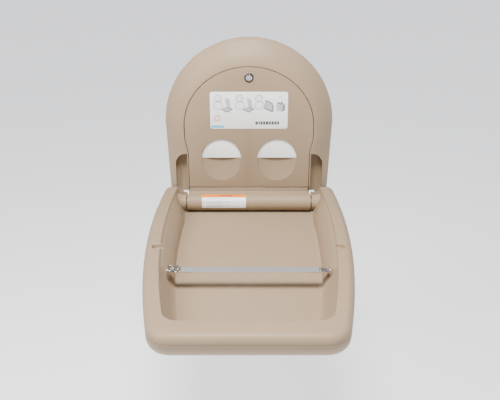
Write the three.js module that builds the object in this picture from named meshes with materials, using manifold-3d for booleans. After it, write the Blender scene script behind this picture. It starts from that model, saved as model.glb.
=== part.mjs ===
// Wall-mounted fold-down baby changing table, open position, millimetres, +Z up.
// X runs along the wall, -Y points into the room, and the wall is the plane y = 0.
// z = 0 is the height of the hinge axis. Depths are distances from the wall.
import * as THREE from 'three';
import { mergeVertices } from 'three/addons/utils/BufferGeometryUtils.js';
import Module from 'manifold-3d';

const wasm = await Module();
wasm.setup();

// ---------- driving dimensions ----------
const HINGE_DEPTH = 80;           // wall to hinge axis
const WALL = 3.4;                 // wall of the moulded shells
const FIT = 0.3;                  // gap between pieces that touch

const BED_WIDTH = 565;            // widest place of the bed
const BED_REACH = 832;            // hinge axis to the front face
const BED_WIDEST_AT = 230;        // hinge axis to the widest place
const BED_SIDE_RADIUS = 2670;     // plan radius of the long sides
const BED_TAIL = 32;              // how far the ears reach behind the axis
const BED_CORNER = 44;            // plan radius of the front corners
const TAIL_CORNER = 18;           // plan radius of the ears
const TAIL_EASE = 3;              // rounding of the ears' top and bottom edges
const RIM_TOP = 45;               // rim above the axis
const RIM_ROUND = 19;             // outer rounding of the rim
const RIM_WIDTH = 42;             // rim width at the sides
const RIM_FRONT = 64;             // rim width at the front
const PART_HEIGHT = 23;           // parting line above the axis
const FLOOR_DROP = 30;            // floor of the tray below the axis
const BED_BOTTOM_DROP = 42;       // underside below the axis
const UNDER_ROUND = 42;           // how far the underside curves in at the sides
const UNDER_FRONT = 100;          // and at the front
const WALL_LEAN = 36;             // the side walls lean in by this much
const BULGE = 9;                  // swelling of the rear side walls
const BULGE_END = 505;            // where the swelling stops

const HOUSE_INSET = 17.5;         // the housing is this much narrower than the bed, each side
const HOUSE_HALF = BED_WIDTH / 2 - HOUSE_INSET;   // half width, and radius of the arch
const ARCH_HEIGHT = 248;          // centre of the arch above the axis
const HOUSE_DROP = 60;            // housing below the axis
const SIDE_TAPER = 0.037;         // the sides close in by this per millimetre
const HOUSE_CORNER = 34;
const HOUSE_DEPTH = 55.5;         // wall to the face of the door
const HOUSE_EDGE = 11;            // depth of the upright outer edge

const FRAME_WIDTH = 63.5;         // the frame beside the door
const FRAME_TOP = 82;             // the frame above the door
const DOOR_HALF = HOUSE_HALF - FRAME_WIDTH;       // half width at the arch
const DOOR_ARCH_HEIGHT = ARCH_HEIGHT - 3;
const DOOR_ARCH_RISE = ARCH_HEIGHT + HOUSE_HALF - FRAME_TOP - DOOR_ARCH_HEIGHT;
const SHOULDER = 10;              // the door narrows by this below its shoulders
const DOOR_LOW_HALF = DOOR_HALF - SHOULDER;
const SHOULDER_TOP = 212;
const SHOULDER_FOOT = 152;
const DOOR_FOOT = 42;             // bottom edge of the door
const DOOR_GAP = 1.5;
const DOOR_SHEET = 3.5;
const DOOR_RIM = 10;              // depth of the turned edge behind the sheet
const DOOR_AXIS_HEIGHT = 48;
const DOOR_AXIS_DEPTH = 47.5;
const DOOR_PIN = 2.5;             // radius

const SLOT_CENTRE = 88;           // liner openings, from the centre line
const SLOT_HEIGHT = 141;
const SLOT_RADIUS = 63;
const SLOT_FALL = 74;             // depth of the scoop below the slot line
const SCOOP_DEPTH = 13;

const LOCK_DROP = 32;             // lock below the top of the door
const LOCK_HEIGHT = DOOR_ARCH_HEIGHT + DOOR_ARCH_RISE - LOCK_DROP;
const LOCK_RADIUS = 9.5;
const LOCK_FACE_RADIUS = 14.5;
const CAM_REACH = 21;

const BARREL_RADIUS = 26;         // hinge cover
const BARREL_HALF = DOOR_LOW_HALF + 5.5;
const COVER_SHEET = 3.2;
const SHAFT_RADIUS = 8;
const BUSH_WALL = 2.6;
const BOSS_RADIUS = 24;
const BOSS_START = BARREL_HALF + 3;
const BOSS_END = BOSS_START + 27;

const PLATE_FOOT = -38;
const PLATE_SHEET = 2.5;
const BRACKET_AT = BARREL_HALF - 47;              // bracket web, from the centre line
const BRACKET_SHEET = 5;
const BOLT_RADIUS = 3;
const BOLT_HEAD = 5.5;

const CRANK = 22;                 // crank radius of the gas spring
const CRANK_AT = BOSS_END + 2;
const CRANK_SHEET = 5;
const CRANK_PIN = 3;
const CYLINDER_RADIUS = 9;
const CYLINDER_LENGTH = 170;
const ROD_RADIUS = 4;

const STRAP_WIDTH = 25;
const STRAP_SHEET = 2;
const STRAP_AT = 502;             // hinge axis to the strap
const STRAP_HEIGHT = 24;

// ---------- colours ----------
const paint = (color, roughness, metalness = 0) =>
  new THREE.MeshStandardMaterial({ color, roughness, metalness });
const PLASTIC = paint(0xc8bcae, 0.55);
const STEEL = paint(0x9a9a9a, 0.45, 0.9);
const CHROME = paint(0xd0d0d2, 0.2, 1);
const RUBBER = paint(0x2a2a2a, 0.9);
const NYLON = paint(0xe8e6df, 0.6);
const PAPER = paint(0xf6f6f4, 0.85);
const LABEL = paint(0xf4f4f2, 0.5);
const WEBBING = paint(0xadadb0, 0.9);

// ---------- solids ----------
function toSolid(geometry) {
  const bare = geometry.clone();
  bare.deleteAttribute('normal');
  bare.deleteAttribute('uv');
  const merged = mergeVertices(bare, 1e-4);
  return new wasm.Manifold(new wasm.Mesh({
    numProp: 3,
    vertProperties: new Float32Array(merged.attributes.position.array),
    triVerts: new Uint32Array(merged.index.array),
  }));
}

function toGeometry(solid) {
  const mesh = solid.getMesh();
  const geometry = new THREE.BufferGeometry();
  geometry.setAttribute('position', new THREE.BufferAttribute(mesh.vertProperties, 3));
  geometry.setIndex(new THREE.BufferAttribute(mesh.triVerts, 1));
  return geometry;
}

// The basis says where the outline's two axes and the direction of extrusion point.
const ALONG_X = [[0, -1, 0], [0, 0, 1], [-1, 0, 0]];   // outline (depth, height), towards -X
const ALONG_Y = [[1, 0, 0], [0, 0, 1], [0, -1, 0]];    // outline (x, height), into the room
const ALONG_Z = [[1, 0, 0], [0, -1, 0], [0, 0, -1]];   // outline (x, depth), downwards

function prism(shape, basis, from, to, curveSegments = 10) {
  const geometry = new THREE.ExtrudeGeometry(shape, {
    depth: to - from, bevelEnabled: false, curveSegments,
  });
  const [u, v, w] = basis.map((axis) => new THREE.Vector3(...axis));
  const place = new THREE.Matrix4().makeBasis(u, v, w);
  place.setPosition(w.clone().multiplyScalar(from));
  return toSolid(geometry.applyMatrix4(place));
}

const alongX = (shape, from, to, segments) => prism(shape, ALONG_X, -to, -from, segments);
const intoRoom = (shape, from, to, segments) => prism(shape, ALONG_Y, from, to, segments);
const upright = (shape, from, to, segments) => prism(shape, ALONG_Z, -to, -from, segments);

function box(x0, x1, depth0, depth1, z0, z1) {
  const geometry = new THREE.BoxGeometry(x1 - x0, depth1 - depth0, z1 - z0);
  geometry.translate((x0 + x1) / 2, -(depth0 + depth1) / 2, (z0 + z1) / 2);
  return toSolid(geometry);
}

function discShape(radius, u = 0, v = 0) {
  const shape = new THREE.Shape();
  shape.absarc(u, v, radius, 0, 2 * Math.PI, false);
  return shape;
}

function outlineShape(points) {
  return new THREE.Shape(points.map(([u, v]) => new THREE.Vector2(u, v)));
}

function roundedShape(u0, u1, v0, v1, radius) {
  const shape = new THREE.Shape();
  shape.absarc(u1 - radius, v0 + radius, radius, -Math.PI / 2, 0, false);
  shape.absarc(u1 - radius, v1 - radius, radius, 0, Math.PI / 2, false);
  shape.absarc(u0 + radius, v1 - radius, radius, Math.PI / 2, Math.PI, false);
  shape.absarc(u0 + radius, v0 + radius, radius, Math.PI, 1.5 * Math.PI, false);
  return shape;
}

const rodAlongX = (radius, from, to, depth = 0, z = 0, segments = 10) =>
  alongX(discShape(radius, depth, z), from, to, segments);
const rodIntoRoom = (radius, x, z, from, to, segments = 10) =>
  intoRoom(discShape(radius, x, z), from, to, segments);
const rodUpright = (radius, x, depth, from, to, segments = 10) =>
  upright(discShape(radius, x, depth), from, to, segments);

// Stitches closed outlines of equal length. Open stacks get flat ends round a middle point.
function loft(outlines, { ring = false } = {}) {
  const count = outlines[0].length;
  const positions = outlines.flat().flatMap((p) => [p.x, p.y, p.z]);
  const faces = [];
  const levels = ring ? outlines.length : outlines.length - 1;
  for (let level = 0; level < levels; level += 1) {
    const low = level * count;
    const high = ((level + 1) % outlines.length) * count;
    for (let i = 0; i < count; i += 1) {
      const next = (i + 1) % count;
      faces.push(low + i, low + next, high + next, low + i, high + next, high + i);
    }
  }
  if (!ring) {
    [0, outlines.length - 1].forEach((level) => {
      const middle = new THREE.Vector3();
      outlines[level].forEach((p) => middle.addScaledVector(p, 1 / count));
      const hub = positions.push(middle.x, middle.y, middle.z) / 3 - 1;
      for (let i = 0; i < count; i += 1) {
        const a = level * count + i;
        const b = level * count + (i + 1) % count;
        faces.push(...(level === 0 ? [hub, b, a] : [hub, a, b]));
      }
    });
  }
  const geometry = new THREE.BufferGeometry();
  geometry.setAttribute('position', new THREE.Float32BufferAttribute(positions, 3));
  geometry.setIndex(faces);
  const volume = signedVolume(positions, faces);
  if (volume < 0) {
    geometry.setIndex(faces.reverse());
  }
  return toSolid(geometry);
}

function signedVolume(positions, faces) {
  const corner = (i) => new THREE.Vector3().fromArray(positions, 3 * i);
  let total = 0;
  for (let i = 0; i < faces.length; i += 3) {
    total += corner(faces[i]).dot(corner(faces[i + 1]).cross(corner(faces[i + 2]))) / 6;
  }
  return total;
}

const steps = (count) => Array.from({ length: count + 1 }, (_, i) => i / count);
const mix = (a, b, share) => a + (b - a) * share;
const smooth = (value, from, to) => {
  const share = Math.min(1, Math.max(0, (value - from) / (to - from)));
  return share * share * (3 - 2 * share);
};

const object = new THREE.Group();
const bedGroup = new THREE.Group();
bedGroup.position.set(0, -HINGE_DEPTH, 0);
object.add(bedGroup);

function add(group, name, solid, material) {
  const mesh = new THREE.Mesh(toGeometry(solid), material);
  mesh.name = name;
  group.add(mesh);
}

const SIDES = [['left', -1], ['right', 1]];
const mirrored = (solid, side) => (side > 0 ? solid : solid.mirror([1, 0, 0]));

// ---------- bed ----------
// Half width of the bed at a distance from the hinge axis.
const bedHalf = (reach) => BED_WIDTH / 2 - (reach - BED_WIDEST_AT) ** 2 / (2 * BED_SIDE_RADIUS);

// A plan outline of the bed: half width by reach, closed by rounded front and tail corners.
function bedOutline({ half, tail, front, corner, tailCorner, z }) {
  const right = [];
  steps(4).forEach((share) => {
    const turn = (1 - share) * Math.PI / 2;
    const reach = tail + tailCorner * (1 - Math.sin(turn));
    right.push([half(reach) - tailCorner * (1 - Math.cos(turn)), reach]);
  });
  const from = tail + tailCorner;
  const to = front - corner;
  steps(14).slice(1, -1).forEach((share) => {
    const reach = mix(from, to, share);
    right.push([half(reach), reach]);
  });
  steps(6).forEach((share) => {
    const turn = share * Math.PI / 2;
    const reach = to + corner * Math.sin(turn);
    right.push([half(reach) - corner * (1 - Math.cos(turn)), reach]);
  });
  const left = right.map(([x, reach]) => [-x, reach]).reverse();
  return [...right, ...left].map(([x, reach]) => new THREE.Vector3(x, -reach, z));
}

// The outer body of the bed, or the space inside its skin when the inset is the wall.
function bedBody(skin) {
  const level = (inset, z, frontShare = 1) => bedOutline({
    half: (reach) => bedHalf(reach) - inset - skin,
    tail: -BED_TAIL + Math.min(inset, TAIL_EASE) + skin,
    front: BED_REACH - inset * frontShare - skin,
    corner: Math.max(BED_CORNER - inset / 2, 20) - skin,
    tailCorner: TAIL_CORNER - skin,
    z,
  });
  const under = steps(5).map((share) => {
    const turn = share * Math.PI / 2;
    const drop = BED_BOTTOM_DROP - skin + PART_HEIGHT;
    return level(UNDER_ROUND * (1 - Math.sin(turn)), PART_HEIGHT - drop * Math.cos(turn),
      UNDER_FRONT / UNDER_ROUND);
  });
  const over = steps(4).map((share) => {
    const turn = share * Math.PI / 2;
    const round = RIM_ROUND - skin;
    return level(round * (1 - Math.cos(turn)), RIM_TOP - RIM_ROUND + round * Math.sin(turn));
  });
  return loft([...under, ...over]);
}

// The side walls stand steeper near the hinge, where they clear the hinge cover.
const STEEP_END = 112;
const STEEP_SHARE = 0.72;
const steepness = (reach) => mix(STEEP_SHARE, 1, smooth(reach, 5, STEEP_END));

// The hollow of the tray, open at the tail where the hinge cover stands.
function trayHollow(skin) {
  const swelling = (reach) => BULGE * smooth(reach, 10, STEEP_END)
    * (1 - smooth(reach, BULGE_END - 12, BULGE_END + 4));
  const level = (inset, swell, z) => bedOutline({
    half: (reach) => bedHalf(reach) - RIM_WIDTH - inset * steepness(reach) + skin
      - swell * swelling(reach),
    tail: -BED_TAIL - 60,
    front: BED_REACH - RIM_FRONT - inset + skin,
    corner: 34 + inset / 2,
    tailCorner: 10,
    z,
  });
  const floor = -FLOOR_DROP - skin;
  return loft([
    level(WALL_LEAN + 7, 0, floor),
    level(WALL_LEAN, 0, floor + 4),
    level(WALL_LEAN * 0.72, 0.8, floor + 17),
    level(WALL_LEAN * 0.45, 1, floor + 36),
    level(WALL_LEAN * 0.16, 0.5, floor + 58),
    level(0, 0, RIM_TOP - 3),
    level(0, 0, RIM_TOP + 20),
  ]);
}

const TAIL_EDGE = -12;            // rear edge of the floor between the ears
const BAG_HOOK_AT = 406;
const BAG_HOOK_WIDTH = 20;
const BAG_HOOK_REACH = 22;
const BAG_HOOK_DEPTH = 14;

const bushOuter = SHAFT_RADIUS + FIT + BUSH_WALL;
const betweenEars = box(-BOSS_END, BOSS_END, -BED_TAIL - 40, TAIL_EDGE, -80, 80);
const bosses = (radius, from, to) => rodAlongX(radius, from, to)
  .add(rodAlongX(radius, -to, -from));
const partingBlock = (z0, z1) => box(-400, 400, -200, BED_REACH + 100, z0, z1);
const bagHooks = SIDES.map(([, side]) => {
  const edge = bedHalf(BAG_HOOK_AT) - RIM_WIDTH;
  const reach = edge + BAG_HOOK_REACH;
  const channel = box(edge - 12, reach, BAG_HOOK_AT - BAG_HOOK_WIDTH / 2,
    BAG_HOOK_AT + BAG_HOOK_WIDTH / 2, RIM_TOP - BAG_HOOK_DEPTH, RIM_TOP + 10);
  return mirrored(channel, side);
});

function makeBedTop() {
  const hollow = trayHollow(0);
  const lining = trayHollow(WALL).subtract(betweenEars)
    .subtract(partingBlock(RIM_TOP - WALL, 200))
    .subtract(box(-400, 400, -300, -BED_TAIL + 2 * WALL, -80, 80));
  let shell = bedBody(0).subtract(bedBody(WALL)).subtract(partingBlock(-80, PART_HEIGHT + FIT / 2));
  bagHooks.forEach((hook) => {
    const lip = bedHalf(BAG_HOOK_AT) - RIM_WIDTH;
    const wide = mirrored(box(lip - 2, lip + BAG_HOOK_REACH + WALL,
      BAG_HOOK_AT - BAG_HOOK_WIDTH / 2 - WALL, BAG_HOOK_AT + BAG_HOOK_WIDTH / 2 + WALL,
      RIM_TOP - BAG_HOOK_DEPTH - WALL, RIM_TOP - 1), hook.boundingBox().max[0] > 0 ? 1 : -1);
    shell = shell.add(wide);
  });
  shell = shell.add(lining).add(bosses(BOSS_RADIUS, BOSS_START, BOSS_END));
  shell = shell.subtract(hollow.subtract(bosses(BOSS_RADIUS, BOSS_START, BOSS_END)));
  shell = shell.subtract(box(-BOSS_START, BOSS_START, -BED_TAIL - 40, TAIL_EDGE, -80, 80));
  bagHooks.forEach((hook) => {
    shell = shell.subtract(hook);
  });
  return shell.subtract(bosses(bushOuter + FIT, BOSS_START - 5, BOSS_END + 12));
}

function makeBedBottom() {
  const under = bedBody(0).subtract(bedBody(WALL));
  return under.subtract(partingBlock(PART_HEIGHT - FIT / 2, 200))
    .subtract(box(-BOSS_START, BOSS_START, -BED_TAIL - 40, TAIL_EDGE, -80, 80));
}

// Screws that hold the underside: two into the steel rail, two into posts of the front rim.
const RAIL_HALF = BOSS_START - 15;
const RAIL_SHEET = 4.4;
const RAIL_TOP = -FLOOR_DROP - WALL - FIT;
const BED_SCREW = 2;
const SCREW_HEAD = 4.5;
const POST_RADIUS = 6;
const WELL_RADIUS = 6.5;          // the front screws sit in wells of the curved underside
const WELL_TOP = -24;
const SCREW_BITE = 12;            // thread inside a post
const frontScrewReach = BED_REACH - RIM_FRONT + POST_RADIUS + WALL + 2;
const railBite = RAIL_TOP - 1;
const postBite = WELL_TOP + WALL + SCREW_BITE;
const bedScrews = [
  ['bed_screw_rear_left', -120, 12, -BED_BOTTOM_DROP, railBite],
  ['bed_screw_rear_right', 120, 12, -BED_BOTTOM_DROP, railBite],
  ['bed_screw_front_left', -110, frontScrewReach, WELL_TOP, postBite],
  ['bed_screw_front_right', 110, frontScrewReach, WELL_TOP, postBite],
];
const bedScrewHoles = bedScrews.map(([, x, reach, seat, tip]) =>
  rodUpright(BED_SCREW + FIT, x, reach, seat - 5, tip + 1.5, 6));
const drill = (solid, holes) => holes.reduce((left, hole) => left.subtract(hole), solid);

const wells = bedScrews.slice(2).map(([, x, reach]) => ({
  cup: rodUpright(WELL_RADIUS + WALL, x, reach, -BED_BOTTOM_DROP, WELL_TOP + WALL, 8)
    .intersect(bedBody(0)),
  pocket: rodUpright(WELL_RADIUS, x, reach, -BED_BOTTOM_DROP - 5, WELL_TOP, 8),
}));
const makeUnderside = () => wells.reduce((solid, { cup, pocket }) =>
  solid.add(cup).subtract(pocket), makeBedBottom());
const posts = bedScrews.slice(2).map(([, x, reach]) =>
  rodUpright(POST_RADIUS, x, reach, WELL_TOP + WALL + FIT, RIM_TOP - 1, 6));
const bedTop = posts.reduce((solid, post) => solid.add(post), makeBedTop());
const frontHoles = bedScrewHoles.slice(2);
add(bedGroup, 'bed_top', drill(bedTop, frontHoles), PLASTIC);
add(bedGroup, 'bed_bottom', drill(makeUnderside(), bedScrewHoles), PLASTIC);

const rail = box(-RAIL_HALF, RAIL_HALF, TAIL_EDGE - FIT, 28, RAIL_TOP - RAIL_SHEET, RAIL_TOP);
add(bedGroup, 'bed_rail', drill(rail, bedScrewHoles.slice(0, 2)), STEEL);
bedScrews.forEach(([name, x, reach, seat, tip]) => {
  const head = rodUpright(SCREW_HEAD, x, reach, seat - FIT - 2, seat - FIT, 6);
  const shank = rodUpright(BED_SCREW, x, reach, seat - FIT - 1, tip, 5);
  add(bedGroup, name, head.add(shank), STEEL);
});

SIDES.forEach(([word, side]) => {
  const sleeve = rodAlongX(bushOuter, BOSS_START - 0.5, BOSS_END)
    .subtract(rodAlongX(SHAFT_RADIUS + FIT, BOSS_START - 5, BOSS_END + 5));
  add(bedGroup, `bush_${word}`, mirrored(sleeve, side), NYLON);
});

// ---------- gas spring, inside the left side of the bed ----------
const crankPinAt = CRANK * Math.SQRT1_2;              // forward of and below the axis when open
const rodLine = -(CRANK + crankPinAt) / 2;            // height of the rod below the axis
const SLOT_PLAY = 1.0;                                // room for the crank's swing past a straight slide
const EYE_SHEET = 7;
const eyeAt = CRANK_AT + CRANK_SHEET + 3;
const rodX = -(eyeAt + EYE_SHEET / 2);
const CYLINDER_START = 74;
const cylinderEnd = CYLINDER_START + CYLINDER_LENGTH;
const CYLINDER_WALL = 1.5;
const ROD_INSIDE = 70;

function makeGasRod() {
  const slotHalf = CRANK_PIN + SLOT_PLAY;
  const low = -CRANK - 0.5;
  const high = -crankPinAt + 0.5;
  const ring = (radius) => roundedShape(crankPinAt - radius, crankPinAt + radius,
    low - radius, high + radius, radius - 0.01);
  const eye = alongX(ring(slotHalf + 3), -eyeAt - EYE_SHEET, -eyeAt, 6);
  const slot = alongX(ring(slotHalf), -eyeAt - EYE_SHEET - 1, -eyeAt + 1, 6);
  const rod = intoRoom(discShape(ROD_RADIUS, rodX, rodLine), crankPinAt + slotHalf + 1,
    CYLINDER_START + ROD_INSIDE, 6);
  return eye.add(rod).subtract(slot);
}

const STUD_RADIUS = 3;
const studReach = cylinderEnd + 9;
function makeGasCylinder() {
  const line = (radius, from, to) => intoRoom(discShape(radius, rodX, rodLine), from, to, 8);
  const tube = line(CYLINDER_RADIUS, CYLINDER_START, cylinderEnd);
  const bore = line(CYLINDER_RADIUS - CYLINDER_WALL, CYLINDER_START + 6, cylinderEnd - 6);
  const mouth = line(ROD_RADIUS + FIT, CYLINDER_START - 1, CYLINDER_START + 7);
  const eye = alongX(roundedShape(cylinderEnd - 1, studReach + 7, rodLine - 7, rodLine + 7, 5),
    -eyeAt - EYE_SHEET, -eyeAt, 4);
  const hole = rodAlongX(STUD_RADIUS + FIT, -eyeAt - 20, -eyeAt + 20, studReach, rodLine, 6);
  return tube.subtract(bore).subtract(mouth).add(eye).subtract(hole);
}
const stud = rodAlongX(STUD_RADIUS, -eyeAt - EYE_SHEET - 2, -eyeAt + 14, studReach, rodLine, 6)
  .add(rodAlongX(STUD_RADIUS + 3, -eyeAt + 1, -eyeAt + 3, studReach, rodLine, 6));

add(bedGroup, 'gas_rod', makeGasRod(), CHROME);
add(bedGroup, 'gas_cylinder', makeGasCylinder(), RUBBER);
add(bedGroup, 'gas_cylinder_stud', stud, STEEL);

const crankPinHole = rodAlongX(CRANK_PIN + FIT, -eyeAt, -CRANK_AT + 5, crankPinAt, -crankPinAt, 6);
const crankArm = outlineShape([[-5, -9], [9, 5], [crankPinAt + 4.8, -crankPinAt + 4.8],
  [crankPinAt - 4.8, -crankPinAt - 4.8]]);
const crank = rodAlongX(SHAFT_RADIUS + 5, -CRANK_AT - CRANK_SHEET, -CRANK_AT)
  .add(alongX(crankArm, -CRANK_AT - CRANK_SHEET, -CRANK_AT))
  .add(rodAlongX(CRANK_PIN + 3.8, -CRANK_AT - CRANK_SHEET, -CRANK_AT, crankPinAt, -crankPinAt, 6))
  .subtract(rodAlongX(SHAFT_RADIUS + FIT, -CRANK_AT - 20, -CRANK_AT + 5))
  .subtract(crankPinHole);
add(bedGroup, 'gas_crank', crank, STEEL);
add(bedGroup, 'gas_crank_pin', rodAlongX(CRANK_PIN, -eyeAt - EYE_SHEET - 1, -CRANK_AT + 0.5,
  crankPinAt, -crankPinAt, 6), STEEL);

// ---------- hinge shaft ----------
const CLIP_SHEET = 2;
const clipAt = { left: CRANK_AT + CRANK_SHEET + FIT, right: BOSS_END + 1.5 };
const shaftEnd = (word) => clipAt[word] + CLIP_SHEET + 1;
add(bedGroup, 'hinge_shaft', rodAlongX(SHAFT_RADIUS, -shaftEnd('left'), shaftEnd('right'), 0, 0, 8),
  STEEL);
SIDES.forEach(([word, side]) => {
  const ring = rodAlongX(SHAFT_RADIUS + 3.5, clipAt[word], clipAt[word] + CLIP_SHEET)
    .subtract(rodAlongX(SHAFT_RADIUS + FIT, clipAt[word] - 1, clipAt[word] + CLIP_SHEET + 1));
  add(bedGroup, `shaft_clip_${word}`, mirrored(ring, side), STEEL);
});

// ---------- safety strap ----------
const strapLow = STRAP_AT - STRAP_WIDTH / 2;
const strapHigh = STRAP_AT + STRAP_WIDTH / 2;
const sheetLow = STRAP_HEIGHT - STRAP_SHEET / 2;
const sheetHigh = STRAP_HEIGHT + STRAP_SHEET / 2;
const STRAP_MARGIN = 65.5;        // anchors inside the outline of the bed, each side
const ANCHOR_FACE = bedHalf(STRAP_AT) - STRAP_MARGIN + 1.9;
const ANCHOR_SHEET = 2.4;
const STRAP_PIN = 2;
const STRAP_PIN_AT = ANCHOR_FACE - 5.5;
const TONGUE_LENGTH = 22;
const STRAP_LEFT = -ANCHOR_FACE + 29;
const STRAP_RIGHT = ANCHOR_FACE - 4 - TONGUE_LENGTH;

function makeAnchorLeft() {
  const base = box(-ANCHOR_FACE - ANCHOR_SHEET, -ANCHOR_FACE, strapLow - 4, strapHigh + 4,
    STRAP_HEIGHT - 9, STRAP_HEIGHT + 9);
  const cheek = (from) => box(-ANCHOR_FACE - 1, -STRAP_PIN_AT + 5, from, from + ANCHOR_SHEET,
    STRAP_HEIGHT - 6, STRAP_HEIGHT + 6);
  return base.add(cheek(strapLow - 4)).add(cheek(strapHigh + 4 - ANCHOR_SHEET))
    .subtract(rodIntoRoom(STRAP_PIN + FIT, -STRAP_PIN_AT, STRAP_HEIGHT, strapLow - 9,
      strapHigh + 9, 6));
}
function makeAnchorRight() {
  const base = box(ANCHOR_FACE, ANCHOR_FACE + ANCHOR_SHEET, strapLow + 2, strapHigh - 2,
    STRAP_HEIGHT - 10, STRAP_HEIGHT + 8);
  return base.add(box(ANCHOR_FACE - 14, ANCHOR_FACE + 1, strapLow + 4, strapHigh - 4,
    sheetLow - FIT - 3, sheetLow - FIT));
}
add(bedGroup, 'strap_anchor_left', makeAnchorLeft(), CHROME);
add(bedGroup, 'strap_anchor_right', makeAnchorRight(), CHROME);
add(bedGroup, 'strap_pin', rodIntoRoom(STRAP_PIN, -STRAP_PIN_AT, STRAP_HEIGHT, strapLow - 5,
  strapHigh + 5, 6), STEEL);

const BUCKLE_END = STRAP_LEFT + 4;
const LEVER_AXIS = BUCKLE_END - 7;
const LEVER_HEIGHT = STRAP_HEIGHT + 5.5;
const LEVER_PIN = 1.5;
const frameLow = strapLow + 1;
const frameHigh = strapHigh - 1;
function makeBuckleFrame() {
  const plate = box(-STRAP_PIN_AT, BUCKLE_END, frameLow, frameHigh, sheetLow - 1, sheetHigh);
  const hub = rodIntoRoom(STRAP_PIN + 2.2, -STRAP_PIN_AT, STRAP_HEIGHT, frameLow, frameHigh, 6);
  const cheek = (from) => box(LEVER_AXIS - 4, LEVER_AXIS + 4, from, from + 2, sheetLow, LEVER_HEIGHT + 3);
  return plate.add(hub).add(cheek(frameLow)).add(cheek(frameHigh - 2))
    .subtract(rodIntoRoom(STRAP_PIN + FIT, -STRAP_PIN_AT, STRAP_HEIGHT, strapLow - 9, strapHigh + 9, 6))
    .subtract(rodIntoRoom(LEVER_PIN + FIT, LEVER_AXIS, LEVER_HEIGHT, frameLow - 2, frameHigh + 2, 6));
}
function makeBuckleLever() {
  const inner = 2.4;
  const plate = box(-STRAP_PIN_AT + 3, LEVER_AXIS, frameLow + inner, frameHigh - inner,
    LEVER_HEIGHT - 1, LEVER_HEIGHT + 1.2);
  const cam = rodIntoRoom(3, LEVER_AXIS, LEVER_HEIGHT, frameLow + inner, frameHigh - inner, 6);
  const pin = rodIntoRoom(LEVER_PIN, LEVER_AXIS, LEVER_HEIGHT, frameLow + 0.2, frameHigh - 0.2, 6);
  return plate.add(cam).add(pin);
}
add(bedGroup, 'buckle_frame', makeBuckleFrame(), CHROME);
add(bedGroup, 'buckle_lever', makeBuckleLever(), CHROME);
add(bedGroup, 'strap_webbing', box(BUCKLE_END + FIT, STRAP_RIGHT, strapLow, strapHigh,
  sheetLow, sheetHigh), WEBBING);
const tongue = outlineShape([[STRAP_RIGHT + FIT, strapLow + 1], [STRAP_RIGHT + TONGUE_LENGTH, STRAP_AT - 5],
  [STRAP_RIGHT + TONGUE_LENGTH, STRAP_AT + 5], [STRAP_RIGHT + FIT, strapHigh - 1]]);
add(bedGroup, 'strap_tongue', upright(tongue, sheetLow, sheetHigh + 0.5), CHROME);

// ---------- outlines of the door and the housing ----------
// The door's outline at a share of the way round, grown by a gap, as matching points.
const archTurns = steps(18).map((share) => share * Math.PI);
const sideHeights = [SHOULDER_TOP, 182, SHOULDER_FOOT, 120, 90, 60, 41, 34, 27, 0];
const doorHalf = (z) => mix(DOOR_LOW_HALF, DOOR_HALF, smooth(z, SHOULDER_FOOT, SHOULDER_TOP));
const houseHalf = (z) => HOUSE_HALF - SIDE_TAPER * (ARCH_HEIGHT - z);

function doorOutline(grow, foot) {
  const arch = archTurns.map((turn) => [(DOOR_HALF + grow) * Math.cos(turn),
    DOOR_ARCH_HEIGHT + (DOOR_ARCH_RISE + grow) * Math.sin(turn)]);
  const heights = sideHeights.filter((z) => z > foot + 8);
  const left = [...heights.map((z) => [-doorHalf(z) - grow, z]), [-DOOR_LOW_HALF - grow, foot]];
  const right = left.map(([x, z]) => [-x, z]).reverse();
  return outlineShape([...arch, ...left, ...right]);
}

// Matching outer and inner points round the housing's frame.
const FRAME_FOOT = 18;            // width of the frame under the hinge
function frameStations() {
  const opening = -HOUSE_DROP + FRAME_FOOT;
  const arch = archTurns.map((turn) => ({
    outer: [HOUSE_HALF * Math.cos(turn), ARCH_HEIGHT + HOUSE_HALF * Math.sin(turn)],
    inner: [(DOOR_HALF + DOOR_GAP) * Math.cos(turn),
      DOOR_ARCH_HEIGHT + (DOOR_ARCH_RISE + DOOR_GAP) * Math.sin(turn)],
  }));
  const sides = sideHeights.map((z) => ({
    outer: [-houseHalf(z), z], inner: [-doorHalf(z) - DOOR_GAP, z],
  }));
  const cornerHalf = houseHalf(-HOUSE_DROP + HOUSE_CORNER);
  const innerCorner = 8;
  const corner = steps(5).map((share) => {
    const turn = share * Math.PI / 2;
    const at = (half, foot, radius) => [-half + radius * (1 - Math.cos(turn)),
      foot + radius * (1 - Math.sin(turn))];
    return {
      outer: at(cornerHalf, -HOUSE_DROP, HOUSE_CORNER),
      inner: at(DOOR_LOW_HALF + DOOR_GAP, opening, innerCorner),
    };
  });
  const foot = [{ outer: [-90, -HOUSE_DROP], inner: [-90, opening] }];
  const left = [...sides, ...corner, ...foot];
  const flip = ({ outer, inner }) => ({ outer: [-outer[0], outer[1]], inner: [-inner[0], inner[1]] });
  return [...arch, ...left, ...left.map(flip).reverse()];
}

// The frame is as deep as the door beside it, and low under the hinge.
const LOW_SHARE = 0.33;
const depthShare = (z) => mix(LOW_SHARE, 1, smooth(z, 27, 41));
function frameRing(profile) {
  const stations = frameStations();
  return loft(profile.map(([share, depth, inset = 0]) => stations.map(({ outer, inner }) => {
    const width = Math.hypot(outer[0] - inner[0], outer[1] - inner[1]);
    const along = share + inset / width;
    const z = mix(outer[1], inner[1], along);
    const deep = depth > HOUSE_EDGE ? HOUSE_EDGE + (depth - HOUSE_EDGE) * depthShare(z) : depth;
    return new THREE.Vector3(mix(outer[0], inner[0], along), -deep, z);
  })), { ring: true });
}

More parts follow.
